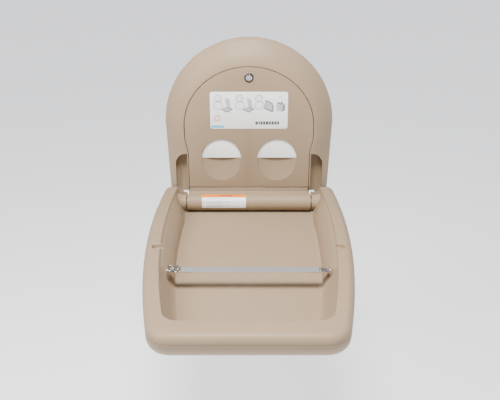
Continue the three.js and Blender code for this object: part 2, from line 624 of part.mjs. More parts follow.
const FLANGE_SHARE = 1.22;
const FLANGE_SHEET = 3;
const flangeBack = PLATE_SHEET + FIT;
const BAND_AT = 0.1;              // a soft step just inside the outer edge
const LIP_ROUND = 2;
function makeHousing() {
  const face = [[0, 0.4], [0, HOUSE_EDGE - 2], [0.02, HOUSE_EDGE + 2.5], [BAND_AT, HOUSE_EDGE + 5],
    [0.2, 22], [0.42, 36], [0.65, 47], [0.85, 53.5], [0.94, HOUSE_DEPTH + 0.5]];
  const full = frameRing([...face, [1, HOUSE_DEPTH - LIP_ROUND], [1, 0.4]]);
  const hollow = frameRing([[0, -5, WALL], [0, HOUSE_EDGE - 3, WALL],
    ...face.slice(3, 8).map(([share, depth]) => [share, depth - WALL * 1.15, share < 0.15 ? 1 : 0]),
    [1, HOUSE_DEPTH - LIP_ROUND - WALL - 0.5, -WALL], [1, -5, -WALL]]);
  const flange = frameRing([[1, flangeBack, -WALL / 2], [1, flangeBack + FLANGE_SHEET, -WALL / 2],
    [FLANGE_SHARE, flangeBack + FLANGE_SHEET], [FLANGE_SHARE, flangeBack]]);
  return carveHinge(full, hollow, flange);
}

// Scoops beside the door that the ears and the thick rear walls of the bed swing through.
const CHANNEL_HALF = HOUSE_HALF - 29;
const CHANNEL_TOP = 156;
const CHANNEL_DEPTH = 16;
const EAR_SWING = 60;
const EAR_INNER = BOSS_END + 1.5;
function channel(grow) {
  const inner = DOOR_LOW_HALF + DOOR_GAP + WALL - grow;
  const shape = outlineShape([[inner, -HOUSE_DROP - 20], [CHANNEL_HALF + grow, -HOUSE_DROP - 20],
    [CHANNEL_HALF + grow, CHANNEL_TOP - 36], [CHANNEL_HALF - 26 + grow, CHANNEL_TOP - 6 + grow],
    [inner, CHANNEL_TOP + grow]]);
  const right = intoRoom(shape, CHANNEL_DEPTH - grow, HINGE_DEPTH + 20);
  return right.add(right.mirror([1, 0, 0]));
}
function earSwing(grow) {
  const right = rodAlongX(EAR_SWING + grow, EAR_INNER - grow, HOUSE_HALF + 40, HINGE_DEPTH, 0, 10);
  return right.add(right.mirror([1, 0, 0]));
}

const SEE_THROUGH = [4, 24];      // gap beside the hinge cover, from the door's edge
const SEE_THROUGH_FOOT = -22;
const SEE_THROUGH_TOP = 16;
function carveHinge(full, hollow, flange) {
  const kept = hollow.subtract(channel(WALL)).subtract(earSwing(WALL));
  let housing = full.subtract(kept).add(flange).subtract(channel(0)).subtract(earSwing(0));
  housing = housing.subtract(box(-BARREL_HALF - 3, BARREL_HALF + 3, 19, 140, -90, 28.5));
  SIDES.forEach(([, side]) => {
    const gap = box(DOOR_LOW_HALF + DOOR_GAP + SEE_THROUGH[0] + 0.6, DOOR_LOW_HALF + SEE_THROUGH[1],
      -10, 40, SEE_THROUGH_FOOT, SEE_THROUGH_TOP);
    housing = housing.subtract(mirrored(gap, side));
    housing = housing.subtract(mirrored(rodAlongX(DOOR_PIN + FIT, DOOR_LOW_HALF, BARREL_HALF + 3,
      DOOR_AXIS_DEPTH, DOOR_AXIS_HEIGHT, 6), side));
  });
  return drill(housing, housingScrews.map(([, x, z]) =>
    rodIntoRoom(HOUSING_SCREW + FIT, x, z, -5, flangeBack + 10, 5)));
}

const HOUSING_SCREW = 2;
const flangeMiddle = (FLANGE_SHARE + 1) / 2;
const archScrew = (turn) => {
  const outer = [HOUSE_HALF * Math.cos(turn), ARCH_HEIGHT + HOUSE_HALF * Math.sin(turn)];
  const inner = [(DOOR_HALF + DOOR_GAP) * Math.cos(turn),
    DOOR_ARCH_HEIGHT + (DOOR_ARCH_RISE + DOOR_GAP) * Math.sin(turn)];
  return [mix(outer[0], inner[0], flangeMiddle), mix(outer[1], inner[1], flangeMiddle)];
};
const sideScrewX = mix(houseHalf(90), DOOR_LOW_HALF + DOOR_GAP, flangeMiddle);
const housingScrews = [
  ['housing_screw_upper_right', ...archScrew(Math.PI / 4)],
  ['housing_screw_upper_left', ...archScrew(3 * Math.PI / 4)],
  ['housing_screw_lower_right', sideScrewX, 90],
  ['housing_screw_lower_left', -sideScrewX, 90],
];
add(object, 'rear_housing', makeHousing(), PLASTIC);
housingScrews.forEach(([name, x, z]) => {
  const front = flangeBack + FLANGE_SHEET + FIT;
  const head = rodIntoRoom(SCREW_HEAD, x, z, front, front + 2.4, 5);
  add(object, name, head.add(rodIntoRoom(HOUSING_SCREW, x, z, 0.6, front + 1, 5)), STEEL);
});

// ---------- wall plate and hinge brackets ----------
const WALL_HOLE = 4.5;
const wallHoles = [[-130, 300], [130, 300], [-130, 90], [130, 90]];
const BRACKET_TOP = 44;
const BRACKET_FOOT = -30;
const BRACKET_INNER = BRACKET_AT - 32;
const bracketBolts = SIDES.flatMap(([word, side]) => [['lower', -18], ['upper', 30]]
  .map(([place, z]) => [`bracket_bolt_${word}_${place}`, side * (BRACKET_INNER + 14), z]));
const boltHoles = bracketBolts.map(([, x, z]) =>
  rodIntoRoom(BOLT_RADIUS + FIT, x, z, -5, 20, 6));
const plateHoles = [
  ...wallHoles.map(([x, z]) => rodIntoRoom(WALL_HOLE, x, z, -5, 10, 6)),
  ...housingScrews.map(([, x, z]) => rodIntoRoom(HOUSING_SCREW + FIT, x, z, -5, 10, 5)),
  ...boltHoles,
];
add(object, 'wall_plate', drill(intoRoom(doorOutline(-0.5, PLATE_FOOT), 0, PLATE_SHEET), plateHoles),
  STEEL);

const bracketBack = PLATE_SHEET + FIT;
const NOSE_RADIUS = 19;
const SEAT_FRONT = HINGE_DEPTH + TAIL_EDGE - 8;
const SEAT_FOOT = -BED_BOTTOM_DROP - 2;
SIDES.forEach(([word, side]) => {
  const web = outlineShape([[bracketBack, BRACKET_FOOT], [12, BRACKET_FOOT - 1], [40, SEAT_FOOT],
    [SEAT_FRONT, SEAT_FOOT], [SEAT_FRONT, -28], [HINGE_DEPTH, -NOSE_RADIUS + 1],
    [HINGE_DEPTH, NOSE_RADIUS - 1], [50, NOSE_RADIUS], [26, 38], [bracketBack, BRACKET_TOP]]);
  const bracket = alongX(web, BRACKET_AT, BRACKET_AT + BRACKET_SHEET)
    .add(rodAlongX(NOSE_RADIUS, BRACKET_AT, BRACKET_AT + BRACKET_SHEET, HINGE_DEPTH, 0))
    .add(box(BRACKET_INNER, BRACKET_AT + 1, bracketBack, bracketBack + BRACKET_SHEET,
      BRACKET_FOOT, BRACKET_TOP))
    .add(box(BRACKET_INNER, BRACKET_AT + 1, SEAT_FRONT - 4, SEAT_FRONT, SEAT_FOOT, -28))
    .subtract(rodAlongX(SHAFT_RADIUS + FIT, BRACKET_AT - 5, BRACKET_AT + 10, HINGE_DEPTH, 0));
  add(object, `hinge_bracket_${word}`, drill(mirrored(bracket, side), boltHoles), STEEL);
  const bumper = rodIntoRoom(6.5, side * (BRACKET_INNER + 14), (SEAT_FOOT - 28) / 2, SEAT_FRONT + FIT,
    HINGE_DEPTH + TAIL_EDGE - 2 * FIT, 8);
  add(object, `stop_bumper_${word}`, bumper, RUBBER);
});
bracketBolts.forEach(([name, x, z]) => {
  const seat = bracketBack + BRACKET_SHEET + FIT;
  const head = rodIntoRoom(BOLT_HEAD, x, z, seat, seat + 4, 3);
  add(object, name, head.add(rodIntoRoom(BOLT_RADIUS, x, z, 0.6, seat + 1, 6)), STEEL);
});

// ---------- hinge cover ----------
function makeHingeCover() {
  const inner = BARREL_RADIUS - COVER_SHEET;
  const bandTop = DOOR_FOOT - DOOR_GAP - 1;
  const shelf = BARREL_RADIUS - 0.5;
  const shape = new THREE.Shape();
  shape.moveTo(HOUSE_DEPTH - COVER_SHEET, bandTop);
  shape.lineTo(HOUSE_DEPTH - COVER_SHEET, shelf - COVER_SHEET);
  shape.lineTo(HINGE_DEPTH - 4, inner - 0.4);
  shape.absarc(HINGE_DEPTH, 0, inner, 0.55 * Math.PI, -0.42 * Math.PI, true);
  shape.absarc(HINGE_DEPTH, 0, BARREL_RADIUS, -0.42 * Math.PI, 0.55 * Math.PI, false);
  shape.lineTo(HOUSE_DEPTH, shelf);
  shape.lineTo(HOUSE_DEPTH, bandTop);
  const half = DOOR_LOW_HALF - 1;
  const body = alongX(shape, -half, half, 14);
  const sleeve = new THREE.Shape();
  sleeve.absarc(HINGE_DEPTH, 0, BARREL_RADIUS, -0.42 * Math.PI, 0.55 * Math.PI, false);
  sleeve.absarc(HINGE_DEPTH, 0, inner, 0.55 * Math.PI, -0.42 * Math.PI, true);
  const end = rodAlongX(BARREL_RADIUS - 0.8, BARREL_HALF - COVER_SHEET, BARREL_HALF, HINGE_DEPTH, 0)
    .subtract(rodAlongX(SHAFT_RADIUS + FIT, BARREL_HALF - 10, BARREL_HALF + 5, HINGE_DEPTH, 0));
  return body.add(alongX(sleeve, -BARREL_HALF, BARREL_HALF, 14)).add(end).add(end.mirror([1, 0, 0]));
}
add(object, 'hinge_cover', makeHingeCover(), PLASTIC);

const warning = new THREE.Shape();
const LABEL_LIFT = 0.3;
const LABEL_SHEET = 0.5;
warning.absarc(HINGE_DEPTH, 0, BARREL_RADIUS + LABEL_LIFT, -0.12 * Math.PI, 0.5 * Math.PI, false);
warning.absarc(HINGE_DEPTH, 0, BARREL_RADIUS + LABEL_LIFT + LABEL_SHEET, 0.5 * Math.PI,
  -0.12 * Math.PI, true);
add(object, 'warning_label', alongX(warning, -150, -10, 10), LABEL);

// ---------- liner door ----------
const doorBack = HOUSE_DEPTH - DOOR_SHEET;
function scoop(grow) {
  const geometry = new THREE.SphereGeometry(1, 20, 12);
  geometry.scale(SLOT_RADIUS + grow, SCOOP_DEPTH + grow, SLOT_FALL + grow);
  geometry.translate(SLOT_CENTRE, -HOUSE_DEPTH, SLOT_HEIGHT);
  const lower = box(SLOT_CENTRE - 100, SLOT_CENTRE + 100, 0, HOUSE_DEPTH, 0, SLOT_HEIGHT - 2);
  return toSolid(geometry).intersect(lower);
}
function slotWindow() {
  const shape = new THREE.Shape();
  shape.absarc(SLOT_CENTRE, SLOT_HEIGHT, SLOT_RADIUS, 0, Math.PI, false);
  shape.lineTo(SLOT_CENTRE - SLOT_RADIUS, SLOT_HEIGHT - 2);
  shape.lineTo(SLOT_CENTRE + SLOT_RADIUS, SLOT_HEIGHT - 2);
  return intoRoom(shape, doorBack - 5, HOUSE_DEPTH + 5, 12);
}
function makeDoor() {
  const rimBack = doorBack - DOOR_RIM;
  const cup = intoRoom(doorOutline(-3, DOOR_FOOT + 3), rimBack - 1, doorBack);
  let door = intoRoom(doorOutline(0, DOOR_FOOT), rimBack, HOUSE_DEPTH).subtract(cup);
  SIDES.forEach(([, side]) => {
    door = door.add(mirrored(scoop(2.5).intersect(box(0, 250, 0, HOUSE_DEPTH - 1, 0, 300)), side));
  });
  SIDES.forEach(([, side]) => {
    door = door.subtract(mirrored(slotWindow(), side)).subtract(mirrored(scoop(0), side))
      .subtract(mirrored(intoRoom(discShape(SLOT_RADIUS - 1, SLOT_CENTRE, SLOT_HEIGHT),
        HOUSE_DEPTH - 0.6, HOUSE_DEPTH + 2, 12).intersect(box(0, 250, 0, 90, 0, SLOT_HEIGHT)), side))
      .subtract(mirrored(rodAlongX(DOOR_PIN + FIT, DOOR_LOW_HALF - 10, DOOR_LOW_HALF + 5,
        DOOR_AXIS_DEPTH, DOOR_AXIS_HEIGHT, 6), side));
  });
  return door.subtract(rodIntoRoom(LOCK_RADIUS + FIT, 0, LOCK_HEIGHT, 20, HOUSE_DEPTH + 5));
}
add(object, 'liner_door', makeDoor(), PLASTIC);
add(object, 'instruction_label', intoRoom(roundedShape(-120.5, 120.5, 238, 356, 8),
  HOUSE_DEPTH + LABEL_LIFT, HOUSE_DEPTH + LABEL_LIFT + LABEL_SHEET, 4), LABEL);
SIDES.forEach(([word, side]) => {
  add(object, `door_pin_${word}`, mirrored(rodAlongX(DOOR_PIN, DOOR_LOW_HALF - 5,
    DOOR_LOW_HALF + DOOR_GAP + WALL - 0.2, DOOR_AXIS_DEPTH, DOOR_AXIS_HEIGHT, 6), side), STEEL);
});

// ---------- lock ----------
const PLUG_RADIUS = 5.7;
const lockBack = 34;
const lockFace = HOUSE_DEPTH + FIT;
const CAM_SHEET = 3;
const camFront = lockBack - 1;
const camBack = camFront - CAM_SHEET;
const CAM_SCREW = 2;
const lockRod = (radius, from, to, segments = 8) =>
  rodIntoRoom(radius, 0, LOCK_HEIGHT, from, to, segments);
add(object, 'lock_body', lockRod(LOCK_RADIUS, lockBack, lockFace + 1)
  .add(lockRod(LOCK_FACE_RADIUS, lockFace, lockFace + 2, 10))
  .subtract(lockRod(PLUG_RADIUS + FIT, lockBack - 1, lockFace + 5)), CHROME);
add(object, 'lock_nut', lockRod(LOCK_RADIUS + 4.5, doorBack - FIT - 5, doorBack - FIT, 3)
  .subtract(lockRod(LOCK_RADIUS + FIT, doorBack - 10, doorBack + 1)), STEEL);
add(object, 'lock_plug', lockRod(PLUG_RADIUS, camFront + FIT, lockFace + 1.6)
  .subtract(box(-1, 1, lockFace - 4, lockFace + 5, LOCK_HEIGHT - 3.5, LOCK_HEIGHT + 3.5))
  .subtract(lockRod(CAM_SCREW + FIT, camFront - 2, camFront + 8, 5)), CHROME);
const cam = lockRod(7, camBack, camFront)
  .add(intoRoom(roundedShape(-6, CAM_REACH, LOCK_HEIGHT - 6, LOCK_HEIGHT + 6, 2), camBack, camFront, 3));
add(object, 'lock_cam', cam.subtract(lockRod(CAM_SCREW + FIT, camBack - 1, camFront + 1, 5)), STEEL);
add(object, 'lock_cam_screw', lockRod(CAM_SCREW * 2, camBack - FIT - 2.5, camBack - FIT, 5)
  .add(lockRod(CAM_SCREW, camBack - FIT - 1, camFront + 6, 5)), STEEL);

const KEEPER_SHEET = 3;
const KEEPER_SIDE = -11;
const tongueBack = camFront + 2;
add(object, 'lock_keeper', box(KEEPER_SIDE - 22, KEEPER_SIDE, bracketBack, bracketBack + 2,
  LOCK_HEIGHT - 10, LOCK_HEIGHT + 10)
  .add(box(KEEPER_SIDE - KEEPER_SHEET, KEEPER_SIDE, bracketBack, tongueBack + KEEPER_SHEET,
    LOCK_HEIGHT, LOCK_HEIGHT + 13.5))
  .add(box(KEEPER_SIDE - KEEPER_SHEET, 8, tongueBack, tongueBack + KEEPER_SHEET,
    LOCK_HEIGHT + 11, LOCK_HEIGHT + CAM_REACH)), STEEL);

// ---------- liner trays ----------
const TRAY_HALF = 74;
const TRAY_SHEET = 2;
const TRAY_TOP = 262;
const TRAY_FRONT = HOUSE_DEPTH - SCOOP_DEPTH - 4;
const LINER_MARGIN = 1;
SIDES.forEach(([word, side]) => {
  const x0 = SLOT_CENTRE - TRAY_HALF;
  const x1 = SLOT_CENTRE + TRAY_HALF;
  const foot = SLOT_HEIGHT - 1;
  const tray = box(x0, x1, bracketBack, TRAY_FRONT, foot - TRAY_SHEET, TRAY_TOP)
    .subtract(box(x0 + TRAY_SHEET, x1 - TRAY_SHEET, bracketBack + TRAY_SHEET, TRAY_FRONT + 5,
      foot, TRAY_TOP - TRAY_SHEET));
  add(object, `liner_tray_${word}`, mirrored(tray, side), NYLON);
  const inset = TRAY_SHEET + LINER_MARGIN;
  add(object, `liner_stack_${word}`, mirrored(box(x0 + inset, x1 - inset,
    bracketBack + TRAY_SHEET + FIT, doorBack - 1.5, foot + FIT, TRAY_TOP - inset), side), PAPER);
});

export default object;
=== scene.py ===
import math
import bmesh
import bpy
import numpy as np
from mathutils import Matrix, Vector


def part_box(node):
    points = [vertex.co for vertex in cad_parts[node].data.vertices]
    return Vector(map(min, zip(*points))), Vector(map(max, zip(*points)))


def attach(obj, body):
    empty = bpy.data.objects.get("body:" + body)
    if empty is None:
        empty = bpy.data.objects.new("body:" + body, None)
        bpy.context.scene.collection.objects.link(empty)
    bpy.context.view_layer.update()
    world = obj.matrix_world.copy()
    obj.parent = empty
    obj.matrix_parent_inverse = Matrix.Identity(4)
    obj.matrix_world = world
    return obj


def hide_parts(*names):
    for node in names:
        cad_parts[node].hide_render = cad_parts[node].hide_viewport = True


bl_info = {
    "name": "Changing Table Looks",
    "version": (1, 0, 0),
    "blender": (4, 5, 0),
    "location": "View3D > Sidebar > Changing Table",
    "description": "Builds the looks of a wall-mounted changing table on its frame",
    "category": "Object",
}

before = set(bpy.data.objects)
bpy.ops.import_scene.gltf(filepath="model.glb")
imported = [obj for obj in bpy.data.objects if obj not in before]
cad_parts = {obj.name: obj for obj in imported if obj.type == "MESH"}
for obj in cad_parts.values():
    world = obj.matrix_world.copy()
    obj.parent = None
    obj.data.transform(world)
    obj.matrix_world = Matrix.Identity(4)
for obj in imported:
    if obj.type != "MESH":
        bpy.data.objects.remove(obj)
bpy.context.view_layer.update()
MM = 0.001

# ---------- sizes that follow the frame, in millimetres ----------
BED_LOW, BED_HIGH = (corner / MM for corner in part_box("bed_bottom"))
SHAFT_LOW, SHAFT_HIGH = (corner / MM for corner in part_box("hinge_shaft"))
HINGE_DEPTH = -(SHAFT_LOW.y + SHAFT_HIGH.y) / 2
BED_WIDTH = BED_HIGH.x - BED_LOW.x
BED_REACH = -BED_LOW.y - HINGE_DEPTH
RIM_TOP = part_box("bed_top")[1].z / MM
PARTING = 23.0
BED_WIDEST_AT = 230.0
BED_SIDE_RADIUS = 2670.0
BED_TAIL = 32.0
BED_CORNER = 44.0
TAIL_CORNER = 18.0
RIM_WIDTH = 42.0
RIM_FRONT = 64.0
SHELL_SKIN = 3.3
NOTCH_AT = 406.0
TAIL_EDGE = -12.0
FLOOR = -30.0
UNDERSIDE = -42.0
UNDER_SIDE = 42.0
UNDER_FRONT = 100.0
WELL_AT = (110.0, 779.4)
WELL_RADIUS = 6.5
WELL_TOP = -24.0
SEE_THROUGH_TOP = 16.0
BOSS_START = 200.0
HOUSE_HALF = 265.0
ARCH_HEIGHT = 248.0
HOUSE_DROP = 60.0
SIDE_TAPER = 0.037
HOUSE_DEPTH = 55.5
HOUSE_SKIN = 3.4
DOOR_HALF = 201.5
DOOR_LOW_HALF = 191.5
DOOR_ARCH_RISE = 186.0
DOOR_ARCH_HEIGHT = 245.0
DOOR_FOOT = 42.0
DOOR_GAP = 1.5
DOOR_SHEET = 3.5
DOOR_AXIS = (47.5, 48.0)
DOOR_PIN_BORE = 2.8
SLOT_CENTRE = 88.0
SLOT_HEIGHT = 141.0
SLOT_RADIUS = 63.0
SLOT_FALL = 75.0
SCOOP_DEPTH = 13.0
LOCK_HEIGHT = 399.0
BARREL_RADIUS = 26.0
BARREL_HALF = 197.0
STRAP_AT = 502.0
STRAP_HEIGHT = 24.0


# ---------- colours and material nodes ----------
def linear(code):
    """An sRGB hex colour as linear red, green, blue and alpha."""
    parts = [int(code[i:i + 2], 16) / 255 for i in (0, 2, 4)]
    return [p / 12.92 if p <= 0.04045 else ((p + 0.055) / 1.055) ** 2.4 for p in parts] + [1.0]


def shade_of(colour, factor):
    return [channel * factor for channel in list(colour)[:3]] + [1.0]


def add_node(tree, kind, settings=None, links=None):
    """Adds one node, sets its properties or input values, and links its inputs."""
    made = tree.nodes.new(kind)
    for key, value in (settings or {}).items():
        if isinstance(key, str) and hasattr(made, key):
            setattr(made, key, value)
        else:
            made.inputs[key].default_value = value
    for key, socket in (links or {}).items():
        tree.links.new(socket, made.inputs[key])
    return made


def new_material(name):
    """A material whose node tree holds only its output and a Principled shader."""
    material = bpy.data.materials.new(name)
    material.use_nodes = True
    tree = material.node_tree
    tree.nodes.clear()
    shader = tree.nodes.new("ShaderNodeBsdfPrincipled")
    output = tree.nodes.new("ShaderNodeOutputMaterial")
    tree.links.new(shader.outputs["BSDF"], output.inputs["Surface"])
    return material, tree, shader


def wave_scale(period):
    """The Scale that gives a Wave Texture one band in that many millimetres."""
    return math.pi / 10 / (period * MM)


def ramp(tree, factor, stops):
    made = add_node(tree, "ShaderNodeValToRGB", None, {"Fac": factor})
    while len(made.color_ramp.elements) < len(stops):
        made.color_ramp.elements.new(0.5)
    for element, (position, colour) in zip(made.color_ramp.elements, stops):
        element.position = position
        element.color = colour
    return made


def moulded_polyethylene(name, colour):
    """Rotationally moulded polyethylene: a soft satin skin with a fine leathery grain."""
    material, tree, shader = new_material(name)
    place = add_node(tree, "ShaderNodeTexCoord").outputs["Object"]
    cloudy = add_node(tree, "ShaderNodeTexNoise", {"Scale": 9.0, "Detail": 3.0}, {"Vector": place})
    tint = ramp(tree, cloudy.outputs["Fac"], [(0.3, shade_of(colour, 0.975)), (0.7, shade_of(colour, 1.02))])
    tree.links.new(tint.outputs["Color"], shader.inputs["Base Color"])
    # The real grain is 0.3 mm across; it is drawn at 0.9 mm so that it still shows.
    grain = add_node(tree, "ShaderNodeTexVoronoi", {"Scale": 1 / 0.0009}, {"Vector": place})
    pits = add_node(tree, "ShaderNodeTexNoise", {"Scale": 1 / 0.004, "Detail": 2.0}, {"Vector": place})
    gloss = ramp(tree, pits.outputs["Fac"], [(0.3, (0.42, 0.42, 0.42, 1)), (0.7, (0.5, 0.5, 0.5, 1))])
    tree.links.new(gloss.outputs["Color"], shader.inputs["Roughness"])
    bump = add_node(tree, "ShaderNodeBump", {"Strength": 0.12, "Distance": 0.00012},
                    {"Height": grain.outputs["Distance"]})
    tree.links.new(bump.outputs["Normal"], shader.inputs["Normal"])
    shader.inputs["IOR"].default_value = 1.3
    shader.inputs["Specular IOR Level"].default_value = 0.42
    return material


def woven_webbing(name, colour):
    """Woven nylon webbing: ribs across the strap, matt with a faint sheen. Reads its own UV map."""
    material, tree, shader = new_material(name)
    place = add_node(tree, "ShaderNodeUVMap", {"uv_map": "cloth"}).outputs["UV"]
    # One rib in 1.6 mm along the strap; a narrow thread every 1.1 mm across it.
    ribs = add_node(tree, "ShaderNodeTexWave", {"bands_direction": "X", "Scale": wave_scale(1.6),
                    "Distortion": 0.25, "Detail": 1.0, "Detail Scale": 2.0}, {"Vector": place})
    threads = add_node(tree, "ShaderNodeTexWave", {"bands_direction": "Y", "Scale": wave_scale(1.1),
                       "Distortion": 0.2}, {"Vector": place})
    weave = add_node(tree, "ShaderNodeMath", {"operation": "MULTIPLY"},
                     {0: ribs.outputs["Fac"], 1: threads.outputs["Fac"]})
    tint = ramp(tree, weave.outputs["Value"], [(0.0, shade_of(colour, 0.72)), (0.55, colour)])
    tree.links.new(tint.outputs["Color"], shader.inputs["Base Color"])
    bump = add_node(tree, "ShaderNodeBump", {"Strength": 0.5, "Distance": 0.0003},
                    {"Height": weave.outputs["Value"]})
    tree.links.new(bump.outputs["Normal"], shader.inputs["Normal"])
    shader.inputs["Roughness"].default_value = 0.85
    shader.inputs["Sheen Weight"].default_value = 0.25
    return material


def sewing_thread(name, colour):
    """Bonded polyester thread: twisted, slightly shiny."""
    material, tree, shader = new_material(name)
    place = add_node(tree, "ShaderNodeTexCoord").outputs["Object"]
    twist = add_node(tree, "ShaderNodeTexWave", {"bands_direction": "DIAGONAL", "Scale": 600.0},
                     {"Vector": place})
    tint = ramp(tree, twist.outputs["Fac"], [(0.0, shade_of(colour, 0.7)), (1.0, colour)])
    tree.links.new(tint.outputs["Color"], shader.inputs["Base Color"])
    shader.inputs["Roughness"].default_value = 0.6
    return material


def plated_metal(name, colour, roughness, scratches):
    """Plated steel or zinc casting: metallic, with fine handling scratches in its gloss."""
    material, tree, shader = new_material(name)
    place = add_node(tree, "ShaderNodeTexCoord").outputs["Object"]
    stretched = add_node(tree, "ShaderNodeMapping", {"Scale": (1.0, 0.12, 1.0)}, {"Vector": place})
    marks = add_node(tree, "ShaderNodeTexNoise", {"Scale": 1 / 0.0012, "Detail": 3.0},
                     {"Vector": stretched.outputs["Vector"]})
    low, high = roughness * (1 - scratches), roughness * (1 + scratches)
    gloss = ramp(tree, marks.outputs["Fac"], [(0.3, (low, low, low, 1)), (0.7, (high, high, high, 1))])
    tree.links.new(gloss.outputs["Color"], shader.inputs["Roughness"])
    tint = ramp(tree, marks.outputs["Fac"], [(0.2, shade_of(colour, 0.93)), (0.8, colour)])
    tree.links.new(tint.outputs["Color"], shader.inputs["Base Color"])
    shader.inputs["Metallic"].default_value = 1.0
    return material


def zinc_plated_steel(name, colour):
    """Galvanised sheet steel: grey, with the faint spangle of the zinc."""
    material, tree, shader = new_material(name)
    place = add_node(tree, "ShaderNodeTexCoord").outputs["Object"]
    spangle = add_node(tree, "ShaderNodeTexVoronoi", {"Scale": 1 / 0.007, "Randomness": 1.0},
                       {"Vector": place})
    tint = ramp(tree, spangle.outputs["Color"], [(0.2, shade_of(colour, 0.86)), (0.8, colour)])
    tree.links.new(tint.outputs["Color"], shader.inputs["Base Color"])
    gloss = ramp(tree, spangle.outputs["Color"], [(0.2, (0.34, 0.34, 0.34, 1)), (0.8, (0.5, 0.5, 0.5, 1))])
    tree.links.new(gloss.outputs["Color"], shader.inputs["Roughness"])
    shader.inputs["Metallic"].default_value = 1.0
    return material


def smooth_polymer(name, colour, roughness, bump_size):
    """Injection-moulded nylon or rubber: plain, with a very slight orange-peel."""
    material, tree, shader = new_material(name)
    place = add_node(tree, "ShaderNodeTexCoord").outputs["Object"]
    peel = add_node(tree, "ShaderNodeTexNoise", {"Scale": 1 / bump_size, "Detail": 2.0}, {"Vector": place})
    tint = ramp(tree, peel.outputs["Fac"], [(0.3, shade_of(colour, 0.95)), (0.7, colour)])
    tree.links.new(tint.outputs["Color"], shader.inputs["Base Color"])
    bump = add_node(tree, "ShaderNodeBump", {"Strength": 0.2, "Distance": 0.0001},
                    {"Height": peel.outputs["Fac"]})
    tree.links.new(bump.outputs["Normal"], shader.inputs["Normal"])
    shader.inputs["Roughness"].default_value = roughness
    return material


def creped_paper(name, colour):
    """Two-ply creped paper: white, matt, with fine crepe ridges 1.4 mm apart."""
    material, tree, shader = new_material(name)
    place = add_node(tree, "ShaderNodeTexCoord").outputs["Object"]
    crepe = add_node(tree, "ShaderNodeTexWave", {"bands_direction": "Z", "Scale": 220.0, "Distortion": 3.0,
                     "Detail": 3.0, "Detail Scale": 1.5}, {"Vector": place})
    tint = ramp(tree, crepe.outputs["Fac"], [(0.0, shade_of(colour, 0.97)), (0.7, colour)])
    tree.links.new(tint.outputs["Color"], shader.inputs["Base Color"])
    bump = add_node(tree, "ShaderNodeBump", {"Strength": 0.25, "Distance": 0.0002},
                    {"Height": crepe.outputs["Fac"]})
    tree.links.new(bump.outputs["Normal"], shader.inputs["Normal"])
    shader.inputs["Roughness"].default_value = 0.9
    return material


def printed_film(name, colour):
    """Printed polyester film: smooth, slightly glossy, with a trace of print mottle."""
    material, tree, shader = new_material(name)
    place = add_node(tree, "ShaderNodeTexCoord").outputs["Object"]
    mottle = add_node(tree, "ShaderNodeTexNoise", {"Scale": 1 / 0.003, "Detail": 2.0}, {"Vector": place})
    tint = ramp(tree, mottle.outputs["Fac"], [(0.3, shade_of(colour, 0.97)), (0.7, colour)])
    tree.links.new(tint.outputs["Color"], shader.inputs["Base Color"])
    shader.inputs["Roughness"].default_value = 0.38
    return material


_made = {}


def finish_of(name):
    """The finish of that name, made once from the user's colours."""
    if name in _made:
        return _made[name]
    look = bpy.context.scene.changing_table_colours
    film = {"print_silver": "B4B7BC", "print_grey": "74777C", "print_dark": "4A4C50",
            "print_blue": "5FB6DA", "print_pink": "E2B9A4"}
    if name == "shell":
        made = moulded_polyethylene("moulded_polyethylene_sand", look.shell)
    elif name == "webbing":
        made = woven_webbing("woven_nylon_webbing", look.webbing)
    elif name == "thread":
        made = sewing_thread("polyester_thread", linear("9A9A9E"))
    elif name == "chrome":
        made = plated_metal("chrome_plate", linear("DCDDE0"), 0.13, 0.4)
    elif name == "lock_ring":
        made = plated_metal("black_nickel_plate", linear("4C4843"), 0.3, 0.3)
    elif name == "zinc":
        made = zinc_plated_steel("zinc_plated_steel", linear("B9BBBD"))
    elif name == "screw":
        made = plated_metal("zinc_plated_screw", linear("A9ABAD"), 0.32, 0.3)
    elif name == "nylon":
        made = smooth_polymer("moulded_nylon", linear("E4E1D8"), 0.45, 0.002)
    elif name == "rubber":
        made = smooth_polymer("moulded_rubber", linear("242424"), 0.8, 0.0015)
    elif name == "black_paint":
        made = smooth_polymer("black_enamel_on_steel", linear("17181A"), 0.25, 0.004)
    elif name == "paper":
        made = creped_paper("creped_paper", linear("FDFDFC"))
    elif name == "label":
        made = printed_film("printed_polyester_film", linear("F1F1F0"))
    elif name == "print_orange":
        made = printed_film("print_orange_ink", look.notice)
    elif name in film:
        made = printed_film(name + "_ink", linear(film[name]))
    else:
        raise RuntimeError("no finish named " + name)
    _made[name] = made
    return made


# ---------- meshes ----------
def new_piece(name, points, faces, finishes=("shell",)):
    """A mesh object from points in millimetres."""
    mesh = bpy.data.meshes.new(name)
    mesh.from_pydata([tuple(float(c) * MM for c in p) for p in points], [], [tuple(f) for f in faces])
    mesh.validate()
    piece = bpy.data.objects.new(name, mesh)
    bpy.context.scene.collection.objects.link(piece)
    for finish in finishes:
        mesh.materials.append(finish_of(finish))
    return piece


def tidy(piece, weld=0.01, outward=True):
    """Merges doubles and turns the faces outwards."""
    work = bmesh.new()
    work.from_mesh(piece.data)
    bmesh.ops.remove_doubles(work, verts=work.verts, dist=weld * MM)
    bmesh.ops.dissolve_degenerate(work, edges=work.edges, dist=weld * MM)
    if outward:
        bmesh.ops.recalc_face_normals(work, faces=work.faces)
    work.to_mesh(piece.data)
    work.free()
    return piece


def settle(piece):
    """Applies every modifier of a piece to its mesh."""
    depsgraph = bpy.context.evaluated_depsgraph_get()
    mesh = bpy.data.meshes.new_from_object(piece.evaluated_get(depsgraph), depsgraph=depsgraph)
    piece.modifiers.clear()
    old = piece.data
    piece.data = mesh
    bpy.data.meshes.remove(old)
    return piece


